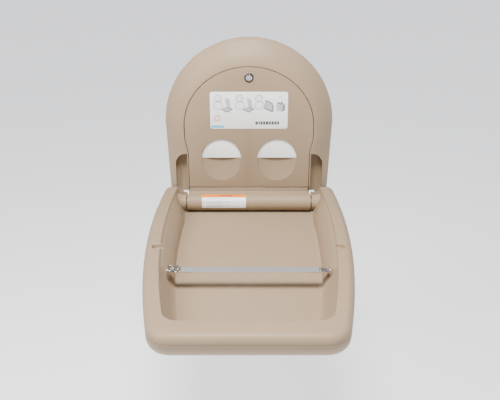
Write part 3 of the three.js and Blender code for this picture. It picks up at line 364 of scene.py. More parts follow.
def combine(piece, others, operation="DIFFERENCE"):
    """Cuts the others from a piece, or joins them to it, and removes them."""
    for other in others:
        step = piece.modifiers.new("combine", "BOOLEAN")
        step.operation = operation
        step.solver = "MANIFOLD"
        step.object = other
    settle(piece)
    for other in others:
        data = other.data
        bpy.data.objects.remove(other)
        bpy.data.meshes.remove(data)
    if not piece.data.polygons:
        raise RuntimeError(piece.name + " lost its faces in a cut")
    return piece


def soften(piece, angle=40.0):
    piece.data.shade_smooth()
    piece.data.set_sharp_from_angle(angle=math.radians(angle))
    return piece


def place(piece, body, nodes=(), slot=None):
    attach(piece, body)
    if nodes:
        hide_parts(*nodes)
    return piece


def loft(name, rows, ring=False, finishes=("shell",)):
    """Closed outlines of equal length, stitched. An open stack gets flat ends."""
    count = len(rows[0])
    points = [p for row in rows for p in row]
    faces = []
    levels = len(rows) if ring else len(rows) - 1
    for level in range(levels):
        low, high = level * count, ((level + 1) % len(rows)) * count
        for i in range(count):
            j = (i + 1) % count
            faces.append((low + i, low + j, high + j, high + i))
    if not ring:
        faces.append(tuple(range(count))[::-1])
        faces.append(tuple((len(rows) - 1) * count + i for i in range(count)))
    return tidy(new_piece(name, points, faces, finishes), 0.004)


# An outline lies in one of three planes: a point (u, v) at distance w.
def along_x(u, v, w):
    return (w, -u, v)


def into_room(u, v, w):
    return (u, -w, v)


def upright(u, v, w):
    return (u, -v, w)


def grown(points, distance):
    """A closed outline moved outwards by a distance along its corner normals."""
    points = np.asarray(points, float)
    before = points - np.roll(points, 1, axis=0)
    after = np.roll(points, -1, axis=0) - points
    area = np.sum(points[:, 0] * np.roll(points[:, 1], -1) - np.roll(points[:, 0], -1) * points[:, 1])
    sign = 1.0 if area > 0 else -1.0
    normals = []
    for first, second in zip(before, after):
        a = np.array((first[1], -first[0])) / (np.linalg.norm(first) + 1e-9)
        b = np.array((second[1], -second[0])) / (np.linalg.norm(second) + 1e-9)
        middle = a + b
        middle /= np.linalg.norm(middle) + 1e-9
        normals.append(sign * middle / max(0.5, float(middle @ a)))
    return points + distance * np.array(normals)


def prism(name, outline, plane, start, end, ease=0.0, steps=3, finishes=("shell",)):
    """An outline drawn out from start to end, with rounded edges of radius ease."""
    rows = []
    if ease:
        for turn in np.linspace(0, math.pi / 2, steps + 1):
            rows.append((start + ease * (1 - math.sin(turn)), -ease * (1 - math.cos(turn))))
        rows = [(w, inset) for w, inset in rows][::-1]
        ends = [(end - (w - start), inset) for w, inset in rows][::-1]
        rows = rows + ends
    else:
        rows = [(start, 0.0), (end, 0.0)]
    return loft(name, [[plane(u, v, w) for u, v in grown(outline, inset)] for w, inset in rows],
                finishes=finishes)


def disc(radius, u=0.0, v=0.0, count=48):
    turns = np.linspace(0, 2 * math.pi, count, endpoint=False)
    return [(u + radius * math.cos(t), v + radius * math.sin(t)) for t in turns]


def rounded(u0, u1, v0, v1, radius, steps=5):
    corners = ((u1 - radius, v0 + radius, -90), (u1 - radius, v1 - radius, 0),
               (u0 + radius, v1 - radius, 90), (u0 + radius, v0 + radius, 180))
    return [(cu + radius * math.cos(math.radians(a + s * 90 / steps)),
             cv + radius * math.sin(math.radians(a + s * 90 / steps)))
            for cu, cv, a in corners for s in range(steps + 1)]


def block(name, x0, x1, depth0, depth1, z0, z1):
    return prism(name, [(x0, z0), (x1, z0), (x1, z1), (x0, z1)], into_room, depth0, depth1)


def turned(name, profile, plane, centre, count=64, finishes=("shell",), ring=False):
    """A profile of (radius, along) turned about an axis through the centre of that plane."""
    rows = [[plane(centre[0] + r * math.cos(t), centre[1] + r * math.sin(t), w)
             for t in np.linspace(0, 2 * math.pi, count, endpoint=False)] for r, w in profile]
    return loft(name, rows, ring=ring, finishes=finishes)


def mirrored(piece):
    """The same piece on the other side of the centre line."""
    for vertex in piece.data.vertices:
        vertex.co.x = -vertex.co.x
    piece.data.flip_normals()
    return piece


def symmetric(piece):
    """Keeps the right half of a piece and mirrors it to the left."""
    work = bmesh.new()
    work.from_mesh(piece.data)
    bmesh.ops.bisect_plane(work, geom=[*work.verts, *work.edges, *work.faces], plane_co=(0, 0, 0),
                           plane_no=(1, 0, 0), clear_inner=True)
    work.to_mesh(piece.data)
    work.free()
    step = piece.modifiers.new("mirror", "MIRROR")
    step.use_mirror_merge = True
    step.merge_threshold = 0.00001
    return settle(piece)


def both_sides(make):
    return [make("right"), mirrored(make("left"))]


def mix(a, b, share):
    return a + (b - a) * share


def smooth(value, start, end):
    share = min(1.0, max(0.0, (value - start) / (end - start)))
    return share * share * (3 - 2 * share)


def spline(knots, samples):
    """Points on a Catmull-Rom curve through the knots, each a tuple of numbers."""
    knots = [np.array(k, float) for k in knots]
    knots = [2 * knots[0] - knots[1], *knots, 2 * knots[-1] - knots[-2]]
    out = []
    for k in range(1, len(knots) - 2):
        a, b, c, d = knots[k - 1:k + 3]
        for t in np.linspace(0, 1, samples, endpoint=False):
            out.append(0.5 * (2 * b + (c - a) * t + (2 * a - 5 * b + 4 * c - d) * t * t
                              + (3 * b - a - 3 * c + d) * t ** 3))
    out.append(knots[-2])
    return out


# ---------- bed ----------
def bed_half(reach):
    return BED_WIDTH / 2 - (reach - BED_WIDEST_AT) ** 2 / (2 * BED_SIDE_RADIUS)


def bed_path(half, front, corner, tail_pull, z, tail_corner=TAIL_CORNER, tail=-BED_TAIL):
    """One level of the bed from the right ear round the front to the left ear."""
    right = []
    for turn in np.linspace(math.pi / 2, 0, 11):
        reach = tail + tail_corner * (1 - math.sin(turn))
        right.append((half(reach) - tail_pull * tail_corner * (1 - math.cos(turn)), reach))
    for share in np.linspace(0, 1, 104)[1:-1]:
        reach = mix(tail + tail_corner, front - corner, share)
        right.append((half(reach), reach))
    for turn in np.linspace(0, math.pi / 2, 15):
        reach = front - corner + corner * math.sin(turn)
        right.append((half(reach) - corner * (1 - math.cos(turn)), reach))
    edge = right[-1][0]
    right += [(edge * (1 - share), front) for share in np.linspace(0, 1, 34)[1:]]
    left = [(-x, reach) for x, reach in right[:-1]][::-1]
    return np.array([(x, -HINGE_DEPTH - reach, z) for x, reach in right + left])


def outer_level(inset, z):
    return bed_path(lambda reach: bed_half(reach) - inset, BED_REACH - inset,
                    max(BED_CORNER - inset / 2, 20.0), 1.0, z)


def steepness(reach):
    return mix(0.72, 1.0, smooth(reach, 5, 112))


def swelling(reach):
    return 9.0 * smooth(reach, 10, 112) * (1 - smooth(reach, 493, 509))


def inner_level(inset, swell, z):
    return bed_path(lambda reach: bed_half(reach) - RIM_WIDTH - inset * steepness(reach)
                    - swell * swelling(reach),
                    BED_REACH - RIM_FRONT - inset, 34.0 + max(inset, 0) / 2, 0.0, z)


def bed_rows():
    """The upper skin of the bed, from the parting line over the rim to the edge of the floor."""
    rim_round, edge_round = 19.0, 4.5
    rows = [outer_level(0, z) for z in (PARTING + 0.4, PARTING + 1.6)]
    for turn in np.linspace(0, math.pi / 2, 10):
        rows.append(outer_level(rim_round * (1 - math.cos(turn)),
                                RIM_TOP - rim_round + rim_round * math.sin(turn)))
    crest = inner_level(-edge_round, 0, RIM_TOP)
    rows += [mix(rows[-1], crest, share) for share in (0.34, 0.67)]
    for turn in np.linspace(0, math.pi / 2, 6):
        rows.append(inner_level(-edge_round * (1 - math.sin(turn)), 0,
                                RIM_TOP - edge_round * (1 - math.cos(turn))))
    wall = spline([(2.0, 0.1, 36.5), (5.8, 0.5, 28), (16.2, 1.0, 6), (26, 0.85, -13), (33.5, 0.3, -23.5),
                   (38.5, 0.0, -28.2), (44.5, 0.0, FLOOR)], 4)
    rows += [inner_level(*knot) for knot in wall]
    rows.append(inner_level(50.0, 0, FLOOR))
    return np.array(rows)


def nose(rows, start, end, real_end):
    """Rounds the ears down to the parting line behind the hinge."""
    rows = rows.copy()
    reach = -rows[..., 1] - HINGE_DEPTH
    share = np.clip((start - reach) / (start - end), 0, 1)
    high = rows[..., 2] > PARTING + 0.4
    rows[..., 2] = np.where(high, PARTING + 0.4 + (rows[..., 2] - PARTING - 0.4) * np.sqrt(1 - share ** 2),
                            rows[..., 2])
    moved = np.where(share > 0, start - share * (start - real_end), reach)
    rows[..., 1] = -HINGE_DEPTH - moved
    return rows


def make_bed_top():
    rows = bed_rows()
    levels, count = rows.shape[:2]
    across = np.gradient(rows, axis=0)
    ahead = np.gradient(rows, axis=1)
    normals = np.cross(ahead, across)
    normals /= np.linalg.norm(normals, axis=2, keepdims=True) + 1e-9
    if normals[10, count // 2][2] < 0:
        normals = -normals
    normals[0] = normals[1]
    under = rows - SHELL_SKIN * normals
    under[0, :, 2] = rows[0, :, 2]
    under[-1, :, 2] = FLOOR - SHELL_SKIN
    top = nose(rows, -16.0, -BED_TAIL, -BED_TAIL)
    under = nose(under, -16.0, -BED_TAIL, -BED_TAIL + 3.4)
    points = np.concatenate([top.reshape(-1, 3), under.reshape(-1, 3)])
    shift = levels * count
    faces = []
    for level in range(levels - 1):
        for i in range(count - 1):
            a, b = level * count + i, (level + 1) * count + i
            faces.append((a, a + 1, b + 1, b))
            faces.append((shift + a, shift + b, shift + b + 1, shift + a + 1))
    for i in range(count - 1):
        faces.append((i, shift + i, shift + i + 1, i + 1))
    for level in range(levels - 1):
        a, b = level * count, (level + 1) * count
        faces.append((a, b, shift + b, shift + a))
        a, b = a + count - 1, b + count - 1
        faces.append((a, shift + a, shift + b, b))
    last = (levels - 1) * count
    faces.append(tuple(range(last, last + count)))
    faces.append(tuple(range(shift + last, shift + last + count))[::-1])
    faces.append((last, last + count - 1, shift + last + count - 1, shift + last))
    bed = tidy(new_piece("bed_tray", points, faces), 0.002)
    flare = [(0.0, BOSS_START), (19.5, BOSS_START), (22.6, BOSS_START + 0.9), (24.0, BOSS_START + 3.2),
             (24.4, BOSS_START + 10), (25.6, BOSS_START + 17), (28.2, BOSS_START + 24), (31.0,
             BOSS_START + 29),
             (31.0, BOSS_START + 33), (0.0, BOSS_START + 33)]
    smooth_flare = [flare[0], *[tuple(p) for p in spline(flare[1:8], 4)], *flare[8:]]
    combine(bed, both_sides(lambda side: turned("boss_" + side, smooth_flare, along_x,
                                                (HINGE_DEPTH, 0.0), 72)), "UNION")
    notch = block("between_ears", -BOSS_START, BOSS_START, HINGE_DEPTH - 80, HINGE_DEPTH + TAIL_EDGE, -80, 80)
    bores = both_sides(lambda side: prism("bore_" + side, disc(11.2, HINGE_DEPTH), along_x, 190, 239))
    combine(bed, both_sides(bag_pocket), "UNION")
    combine(bed, [notch, *bores, *both_sides(bag_notch)])
    return soften(bed, 38)


def bag_pocket(side):
    """The thickened plastic under the skin that the bag notch is moulded into."""
    edge = bed_half(NOTCH_AT) - RIM_WIDTH
    return prism("bag_pocket_" + side, rounded(edge - 2, edge + 25.5, HINGE_DEPTH + 392.5,
            HINGE_DEPTH + 423, 4),
                 upright, RIM_TOP - 19, RIM_TOP - 1.5)


def bag_notch(side):
    """A hook for a bag: a slot from the inner edge of the rim that deepens at its outer end."""
    edge = bed_half(NOTCH_AT) - RIM_WIDTH
    plan = [(edge - 14, 396), (edge + 15, 396), (edge + 19.5, 397.2), (edge + 22, 400.5), (edge + 22, 415),
            (edge + 20.6, 418.3), (edge + 17.4, 419.6), (edge + 14.4, 418.4), (edge + 13, 415.4),
            (edge + 11, 413.4), (edge + 8, 412.6), (edge - 14, 412.6)]
    rows = []
    for lift, swell in ((-14.0, -2.5), (-13.2, -1.0), (-11.0, 0.0), (-2.6, 0.0), (-1.0, 0.6), (0.2, 2.2),
            (8.0, 2.4)):
        outline = grown(plan, swell)
        rows.append([(x, -HINGE_DEPTH - reach, RIM_TOP + lift + (4.0 * smooth(edge + 14 - x, 0, 20)
                      if lift < -5 else 0.0)) for x, reach in outline])
    return loft("bag_notch_" + side, rows)


def make_bed_bottom():
    def level(inset, z, skin=0.0):
        return bed_path(lambda reach: bed_half(reach) - inset - skin,
                        BED_REACH - inset * UNDER_FRONT / UNDER_SIDE - skin,
                        max(BED_CORNER - inset / 2, 20.0) - skin, 1.0, z, TAIL_CORNER - skin,
                        -BED_TAIL + min(inset, 3.0) + skin)

    def shell(name, skin, top):
        rows = [level(0.0, top, skin)]
        for turn in np.linspace(math.pi / 2, 0, 13):
            drop = PARTING - UNDERSIDE - skin
            rows.append(level(UNDER_SIDE * (1 - math.sin(turn)),
                    PARTING - 0.9 - (drop - 0.9) * math.cos(turn), skin))
        return loft(name, rows)

    under = shell("bed_underside", 0.0, PARTING - 0.3)
    hollow = shell("hollow", SHELL_SKIN, PARTING + 30)
    notch = block("between_ears", -BOSS_START, BOSS_START, HINGE_DEPTH - 80, HINGE_DEPTH + TAIL_EDGE, -80, 80)
    combine(under, [hollow, notch])
    where = (WELL_AT[0], HINGE_DEPTH + WELL_AT[1])
    combine(under, both_sides(lambda side: prism("well_" + side, disc(WELL_RADIUS + 2.4, *where, 32), upright,
                                                 UNDERSIDE + 12, WELL_TOP + 2.4)), "UNION")
    cuts = both_sides(lambda side: prism("bore_" + side, disc(WELL_RADIUS, *where, 32), upright,
                                         UNDERSIDE - 20, WELL_TOP))
    cuts += both_sides(lambda side: prism("pilot_" + side, disc(2.3, *where, 16), upright, -30, 0))
    combine(under, cuts)
    return soften(under, 38)


# ---------- housing, hinge cover and liner door ----------
ARCH_TURNS = np.linspace(0, math.pi, 109)
SIDE_HEIGHTS = [*np.linspace(236, 152, 22), *np.linspace(146, 48, 22), 44, 41, 37, 34, 30, 27, 20, 10, 0]


def door_half(z):
    return mix(DOOR_LOW_HALF, DOOR_HALF, smooth(z, 152, 212))


def house_half(z):
    return HOUSE_HALF - SIDE_TAPER * (ARCH_HEIGHT - z)


def door_outline(foot, foot_corner=2.0):
    arch = [(DOOR_HALF * math.cos(t), DOOR_ARCH_HEIGHT + DOOR_ARCH_RISE * math.sin(t)) for t in ARCH_TURNS]
    left = [(-door_half(z), z) for z in SIDE_HEIGHTS if z > foot + foot_corner + 1]
    left += [(-DOOR_LOW_HALF + foot_corner * (1 - math.cos(t)), foot + foot_corner * (1 - math.sin(t)))
             for t in np.linspace(0, math.pi / 2, 5)]
    return arch + left + [(-x, z) for x, z in left][::-1]


def frame_stations():
    opening = -HOUSE_DROP + 18.0
    arch = [((HOUSE_HALF * math.cos(t), ARCH_HEIGHT + HOUSE_HALF * math.sin(t)),
             ((DOOR_HALF + DOOR_GAP) * math.cos(t),
             DOOR_ARCH_HEIGHT + (DOOR_ARCH_RISE + DOOR_GAP) * math.sin(t)))
            for t in ARCH_TURNS]
    left = [((-house_half(z), z), (-door_half(z) - DOOR_GAP, z)) for z in SIDE_HEIGHTS]
    corner_half = house_half(-HOUSE_DROP + 34)
    for t in np.linspace(0, math.pi / 2, 13):
        left.append(((-corner_half + 34 * (1 - math.cos(t)), -HOUSE_DROP + 34 * (1 - math.sin(t))),
                     (-DOOR_LOW_HALF - DOOR_GAP + 8 * (1 - math.cos(t)), opening + 8 * (1 - math.sin(t)))))
    left += [((-x, -HOUSE_DROP), (-x, opening)) for x in (160, 120, 80, 40, 0)]
    right = [((-ox, oz), (-ix, iz)) for (ox, oz), (ix, iz) in left[:-1]][::-1]
    return arch + left + right


def frame_ring(name, profile):
    """A closed profile of (share, depth, inset) carried round the housing's frame."""
    stations = frame_stations()
    rows = []
    for share, depth, inset in profile:
        row = []
        for (ox, oz), (ix, iz) in stations:
            along = share + inset / math.hypot(ox - ix, oz - iz)
            z = mix(oz, iz, along)
            deep = 11 + (depth - 11) * mix(0.33, 1, smooth(z, 27, 41)) if depth > 11 else depth
            row.append((mix(ox, ix, along), -deep, z))
        rows.append(row)
    return loft(name, rows, ring=True)


def swing_room(name, grow):
    """The space beside the door that the ears and rear walls of the bed swing through."""
    inner = DOOR_LOW_HALF + DOOR_GAP + 3.4 - grow
    outer = HOUSE_HALF - 29 + grow
    knots = [(outer, 116.0), (outer - 3, 128.0), (outer - 12, 143.0 + grow / 2), (outer - 24, 152.0 + grow),
             (inner, 156.0 + grow)]
    outline = [(inner, -80.0), (outer, -80.0), *[tuple(p) for p in spline(knots, 6)]]
    ease = 5.0 if not grow else 2.0
    rows = [[into_room(u, v, w) for u, v in grown(outline, swell)] for w, swell in
            ((16 - grow, -ease), (16 - grow + ease * 0.13, -ease * 0.5), (16 - grow + ease * 0.5,
            -ease * 0.13),
             (16 - grow + ease, 0.0), (100.0, 0.0))]
    return loft(name, rows)


def ear_room(name, grow):
    inner = BOSS_START + 28.5 - grow
    return prism(name, disc(60 + grow, HINGE_DEPTH, 0, 96), along_x, inner, HOUSE_HALF + 40)


def make_housing():
    ease = [(0.0, 8.2, 0.0), (0.0, 9.6, 0.5), (0.0, 10.8, 1.5), (0.02, 12.6, 1.9), (0.05, 14.6, 0.6),
            (0.082, 15.3, 0.0), (0.1, 15.9, 0.0), (0.115, 17.4, 0.0), (0.135, 19.2, 0.0)]
    sweep = [tuple(p) for p in spline([(0.16, 20.4, 0), (0.25, 26.0, 0), (0.42, 36.6, 0), (0.62, 46.2, 0),
                                       (0.8, 52.4, 0), (0.9, 55.0, 0), (0.95, 56.0, 0)], 4)]
    lip = [(0.975, 56.1, 0.0), (1.0, 55.6, -0.6), (1.0, 54.6, -0.1), (1.0, 52.8, 0.0), (1.0, 0.4, 0.0)]
    full = frame_ring("rear_frame", [(0.0, 0.4, 0.0), *ease, *sweep, *lip])
    hollow = frame_ring("hollow", [(0.0, -5, 3.4), (0.0, 7.5, 3.4), (0.1, 11.5, 1), *[(s, d - 4.0,
            0) for s, d, _ in sweep[2:-3:3]],
                                   (1.0, 49.5, -3.4), (1.0, -5, -3.4)])
    flange = frame_ring("flange", [(1.0, 2.8, -1.7), (1.0, 5.8, -1.7), (1.22, 5.8, 0), (1.22, 2.8, 0)])
    rooms = both_sides(lambda side: swing_room("room_" + side, HOUSE_SKIN))
    ears = both_sides(lambda side: ear_room("ears_" + side, HOUSE_SKIN))
    combine(hollow, rooms + ears)
    combine(full, [hollow])
    combine(full, [flange], "UNION")
    cuts = both_sides(lambda side: swing_room("room_" + side, 0.0))
    cuts += both_sides(lambda side: ear_room("ears_" + side, 0.0))
    cuts.append(block("barrel_room", -BARREL_HALF - 3, BARREL_HALF + 3, 19, 140, -90, 28.5))
    cuts += both_sides(lambda side: block("see_through_" + side, DOOR_LOW_HALF + DOOR_GAP + 4.6,
                                          DOOR_LOW_HALF + 24, -10, 40, -22, SEE_THROUGH_TOP))
    cuts += both_sides(lambda side: prism("pin_hole_" + side, disc(DOOR_PIN_BORE, *DOOR_AXIS, 24), along_x,
                                          DOOR_LOW_HALF, BARREL_HALF + 3))
    combine(full, cuts)
    return soften(full, 34)


def make_hinge_cover():
    inner = BARREL_RADIUS - 3.2
    top = DOOR_FOOT - DOOR_GAP - 1
    shelf = BARREL_RADIUS - 0.5
    arc = np.linspace(0.55 * math.pi, -0.42 * math.pi, 46)
    outside = [(HINGE_DEPTH + BARREL_RADIUS * math.cos(t), BARREL_RADIUS * math.sin(t)) for t in arc]
    inside = [(HINGE_DEPTH + inner * math.cos(t), inner * math.sin(t)) for t in arc][::-1]
    valley = [tuple(p) for p in spline([(HOUSE_DEPTH, shelf + 6), (HOUSE_DEPTH + 0.5, shelf + 2.2),
                                        (HOUSE_DEPTH + 3, shelf - 0.1), (HINGE_DEPTH - 12, shelf - 0.3),
                                        outside[0]], 4)]
    outline = [(52.3, top - 0.8), (52.9, top), (HOUSE_DEPTH - 1.4, top), (HOUSE_DEPTH - 0.4, top - 0.4),
               (HOUSE_DEPTH, top - 1.4), *valley[:-1], *outside, *inside,
               (HINGE_DEPTH - 4, inner - 0.4), (55.6, shelf - 3.2), (52.3, shelf - 1)]
    half = DOOR_LOW_HALF - 1
    cover = prism("hinge_cover_shell", outline, along_x, -half, half, 0.5, 2)
    sleeve = outside + inside
    combine(cover, [prism("sleeve", sleeve, along_x, -BARREL_HALF, BARREL_HALF, 0.7, 3)], "UNION")
    ends = both_sides(lambda side: turned("end_" + side, [(8.3, BARREL_HALF - 3.2), (25.2, BARREL_HALF - 3.2),
                      (25.2, BARREL_HALF - 0.8), (24.4, BARREL_HALF), (8.3, BARREL_HALF)], along_x,
                                          (HINGE_DEPTH, 0.0), 72, ring=True))
    combine(cover, ends, "UNION")
    return soften(cover, 34)


def slot_lip(x):
    """Height of the slightly wavy edge below each liner slot."""
    share = (x - SLOT_CENTRE) / SLOT_RADIUS
    return SLOT_HEIGHT - 2.0 - 2.4 * math.cos(share * math.pi * 0.62 - 0.35) + 1.1 * share


def make_door():
    outline = door_outline(DOOR_FOOT)
    back = HOUSE_DEPTH - DOOR_SHEET
    rows = [(back - 10, 0.0), (HOUSE_DEPTH - 1.6, 0.0), (HOUSE_DEPTH - 1.15, -0.1), (HOUSE_DEPTH - 0.6,
            -0.45),
            (HOUSE_DEPTH - 0.2, -1.0), (HOUSE_DEPTH, -1.8)]
    door = loft("liner_door_panel", [[into_room(u, v, w) for u, v in grown(outline, swell)] for w,
            swell in rows])
    cup = prism("cup", grown(outline, -3.0), into_room, back - 20, back)
    combine(door, [cup])
    combine(door, [scoop("bowl", 2.5, HOUSE_DEPTH - 1.3)], "UNION")
    cuts = [scoop("scoop", 0.0, None), slot_window("right"),
            prism("pin", disc(DOOR_PIN_BORE, *DOOR_AXIS, 24), along_x, DOOR_LOW_HALF - 10, DOOR_LOW_HALF + 5)]
    cuts.append(prism("lock_hole", disc(9.8, 0, LOCK_HEIGHT, 64), into_room, 20, HOUSE_DEPTH + 5))
    combine(door, cuts)
    return soften(symmetric(door), 32)


def scoop(name, grow, front):
    """The dished finger scoop below a slot: deepest just under the lip, fading out at its foot."""
    rows = []
    for share in np.linspace(-0.04, 1, 36):
        down = 0.997 * math.sin(share * math.pi / 2)
        z = SLOT_HEIGHT - down * (SLOT_FALL + grow)
        wide = (SLOT_RADIUS + grow) * math.sqrt(1 - down ** 2)
        deep = (SCOOP_DEPTH + grow) * (1 - max(down, 0.0) ** 1.55)
        row = []
        for t in np.linspace(-1, 1, 41):
            fall = max(0.0, math.cos(t * math.pi / 2)) ** 1.24
            row.append((SLOT_CENTRE + wide * math.sin(t * math.pi / 2), -(HOUSE_DEPTH - deep * fall), z))
        mouth = -(front or HOUSE_DEPTH + 4)
        row += [(SLOT_CENTRE + wide, mouth, z), (SLOT_CENTRE - wide, mouth, z)]
        rows.append(row)
    piece = loft(name, rows)
    edge = [(SLOT_CENTRE + x, slot_lip(SLOT_CENTRE + x) + (grow * 0.9)) for x in np.linspace(80, -80, 61)]
    keep = prism("keep", [(SLOT_CENTRE - 90, -20), (SLOT_CENTRE + 90, -20), *edge], into_room, 10, 80)
    return combine(piece, [keep], "INTERSECT")


def slot_window(side):
    arch = [(SLOT_CENTRE + SLOT_RADIUS * math.cos(t), SLOT_HEIGHT + SLOT_RADIUS * math.sin(t))
            for t in np.linspace(0, math.pi, 49)]
    foot = [(SLOT_CENTRE + x, slot_lip(SLOT_CENTRE + x) - 0.01) for x in np.linspace(-SLOT_RADIUS,
            SLOT_RADIUS, 33)]
    outline = arch + foot
    back = HOUSE_DEPTH - DOOR_SHEET
    rows = [(back - 6, 0.0), (HOUSE_DEPTH - 1.3, 0.0), (HOUSE_DEPTH - 0.5, 0.35), (HOUSE_DEPTH + 0.1, 1.2),
            (HOUSE_DEPTH + 4, 1.3)]
    return loft("window_" + side, [[into_room(u, v, w) for u, v in grown(outline, swell)]
                                   for w, swell in rows])


# ---------- geometry nodes for what repeats ----------
def new_tree(name, inputs):
    """A node tree with a geometry input, the named inputs and one geometry output."""
    tree = bpy.data.node_groups.new(name, "GeometryNodeTree")
    tree.interface.new_socket("Geometry", in_out="INPUT", socket_type="NodeSocketGeometry")
    for label, kind, value in inputs:
        socket = tree.interface.new_socket(label, in_out="INPUT", socket_type=kind)
        if value is not None:
            socket.default_value = value
    tree.interface.new_socket("Geometry", in_out="OUTPUT", socket_type="NodeSocketGeometry")
    return tree, tree.nodes.new("NodeGroupInput").outputs


def close_tree(tree, geometry, finish):
    real = add_node(tree, "GeometryNodeRealizeInstances", None, {"Geometry": geometry})
    dressed = add_node(tree, "GeometryNodeSetMaterial", {"Material": finish_of(finish)},
                       {"Geometry": real.outputs["Geometry"]})
    tree.links.new(dressed.outputs["Geometry"], tree.nodes.new("NodeGroupOutput").inputs["Geometry"])
    return tree


def run_tree(piece, tree, values):
    """Runs a tree on a piece and keeps the result as its plain mesh."""
    step = piece.modifiers.new(tree.name, "NODES")
    step.node_group = tree
    for item in tree.interface.items_tree:
        if item.item_type == "SOCKET" and item.in_out == "INPUT" and item.name in values:
            step[item.identifier] = values[item.name]
    return settle(piece)


def stitch_tree():
    """Short threads laid end to end along every edge of the piece."""
    tree, given = new_tree("stitches", [("Stitch length", "NodeSocketFloat", 0.0028),
                                        ("Thread radius", "NodeSocketFloat", 0.0003)])
    curve = add_node(tree, "GeometryNodeMeshToCurve", None, {"Mesh": given["Geometry"]})
    points = add_node(tree, "GeometryNodeCurveToPoints", {"mode": "LENGTH"},
                      {"Curve": curve.outputs["Curve"], "Length": given["Stitch length"]})
    share = add_node(tree, "ShaderNodeMath", {"operation": "MULTIPLY", 1: 0.78}, {0: given["Stitch length"]})
    thread = add_node(tree, "GeometryNodeMeshCylinder", {"Vertices": 8}, {"Radius": given["Thread radius"],
                      "Depth": share.outputs["Value"]})
    laid = add_node(tree, "GeometryNodeInstanceOnPoints", None,
                    {"Points": points.outputs["Points"], "Instance": thread.outputs["Mesh"],
                     "Rotation": points.outputs["Rotation"]})
    return close_tree(tree, laid.outputs["Instances"], "thread")


def fastener_tree(finish):
    """One fastener at every point of the piece, turned a little at random."""
    tree, given = new_tree("fasteners", [("Fastener", "NodeSocketObject", None), ("Seed", "NodeSocketInt",
            7)])
    shape = add_node(tree, "GeometryNodeObjectInfo", None, {"Object": given["Fastener"]})
    turn = add_node(tree, "FunctionNodeRandomValue", {"data_type": "FLOAT_VECTOR"}, {"Seed": given["Seed"]})
    turn.inputs[0].default_value = (0, 0, 0)
    turn.inputs[1].default_value = (0, 0, 1.4)
    laid = add_node(tree, "GeometryNodeInstanceOnPoints", None,
                    {"Points": given["Geometry"], "Instance": shape.outputs["Geometry"],
                     "Rotation": turn.outputs["Value"]})
    return close_tree(tree, laid.outputs["Instances"], finish)


def sheet_tree():
    """A row of folded sheets from one corner point, each a little higher or lower."""
    tree, given = new_tree("liner_sheets", [("Sheet", "NodeSocketObject", None), ("Gap",
            "NodeSocketFloat", 0.0022),
                                            ("Count", "NodeSocketInt", 20), ("Unevenness",
                                            "NodeSocketFloat", 0.0008),
                                            ("Seed", "NodeSocketInt", 3)])
    step = add_node(tree, "ShaderNodeCombineXYZ", None, {"Y": given["Gap"]})
    row = add_node(tree, "GeometryNodeMeshLine", None, {"Count": given["Count"],
            "Offset": step.outputs["Vector"]})
    shift = add_node(tree, "FunctionNodeRandomValue", {"data_type": "FLOAT_VECTOR"}, {"Seed": given["Seed"]})
    shift.inputs[0].default_value = (-1, 0, -1)
    shift.inputs[1].default_value = (1, 0, 0)
    sized = add_node(tree, "ShaderNodeVectorMath", {"operation": "SCALE"},
                     {0: shift.outputs["Value"], "Scale": given["Unevenness"]})
    uneven = add_node(tree, "GeometryNodeSetPosition", None,
                      {"Geometry": row.outputs["Mesh"], "Offset": sized.outputs["Vector"]})
    shape = add_node(tree, "GeometryNodeObjectInfo", None, {"Object": given["Sheet"]})
    laid = add_node(tree, "GeometryNodeInstanceOnPoints", None,
                    {"Points": uneven.outputs["Geometry"], "Instance": shape.outputs["Geometry"]})
    return close_tree(tree, laid.outputs["Instances"], "paper")


def drop(piece):
    data = piece.data
    bpy.data.objects.remove(piece)
    bpy.data.meshes.remove(data)


# ---------- strap ----------
WEB_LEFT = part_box("strap_webbing")[0].x / MM
WEB_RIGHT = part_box("strap_webbing")[1].x / MM
WEB_HALF = (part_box("strap_webbing")[1].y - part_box("strap_webbing")[0].y) / MM / 2
STRAP_DEPTH = HINGE_DEPTH + STRAP_AT
TURNED_UNDER = 32.0


def web_path():
    """The middle line of the webbing as (x, height), with both ends turned under and sewn."""
    low, high = STRAP_HEIGHT - 0.5, STRAP_HEIGHT + 0.5
    left = [(WEB_LEFT + TURNED_UNDER - s * (TURNED_UNDER - 1) / 10, low) for s in range(11)]
    turn = [(WEB_LEFT + 1 - 0.5 * math.sin(t), STRAP_HEIGHT - 0.5 * math.cos(t)) for t in (0.8, 1.57, 2.34)]
    top = [(WEB_LEFT + 1 + (WEB_RIGHT - WEB_LEFT - 2) * s / 90, high) for s in range(91)]
    back = [(WEB_RIGHT - 1 + 0.5 * math.sin(t), STRAP_HEIGHT + 0.5 * math.cos(t)) for t in (0.8, 1.57, 2.34)]
    right = [(WEB_RIGHT - 1 - s * (TURNED_UNDER - 1) / 10, low) for s in range(11)]
    return np.array(left + turn + top + back + right)


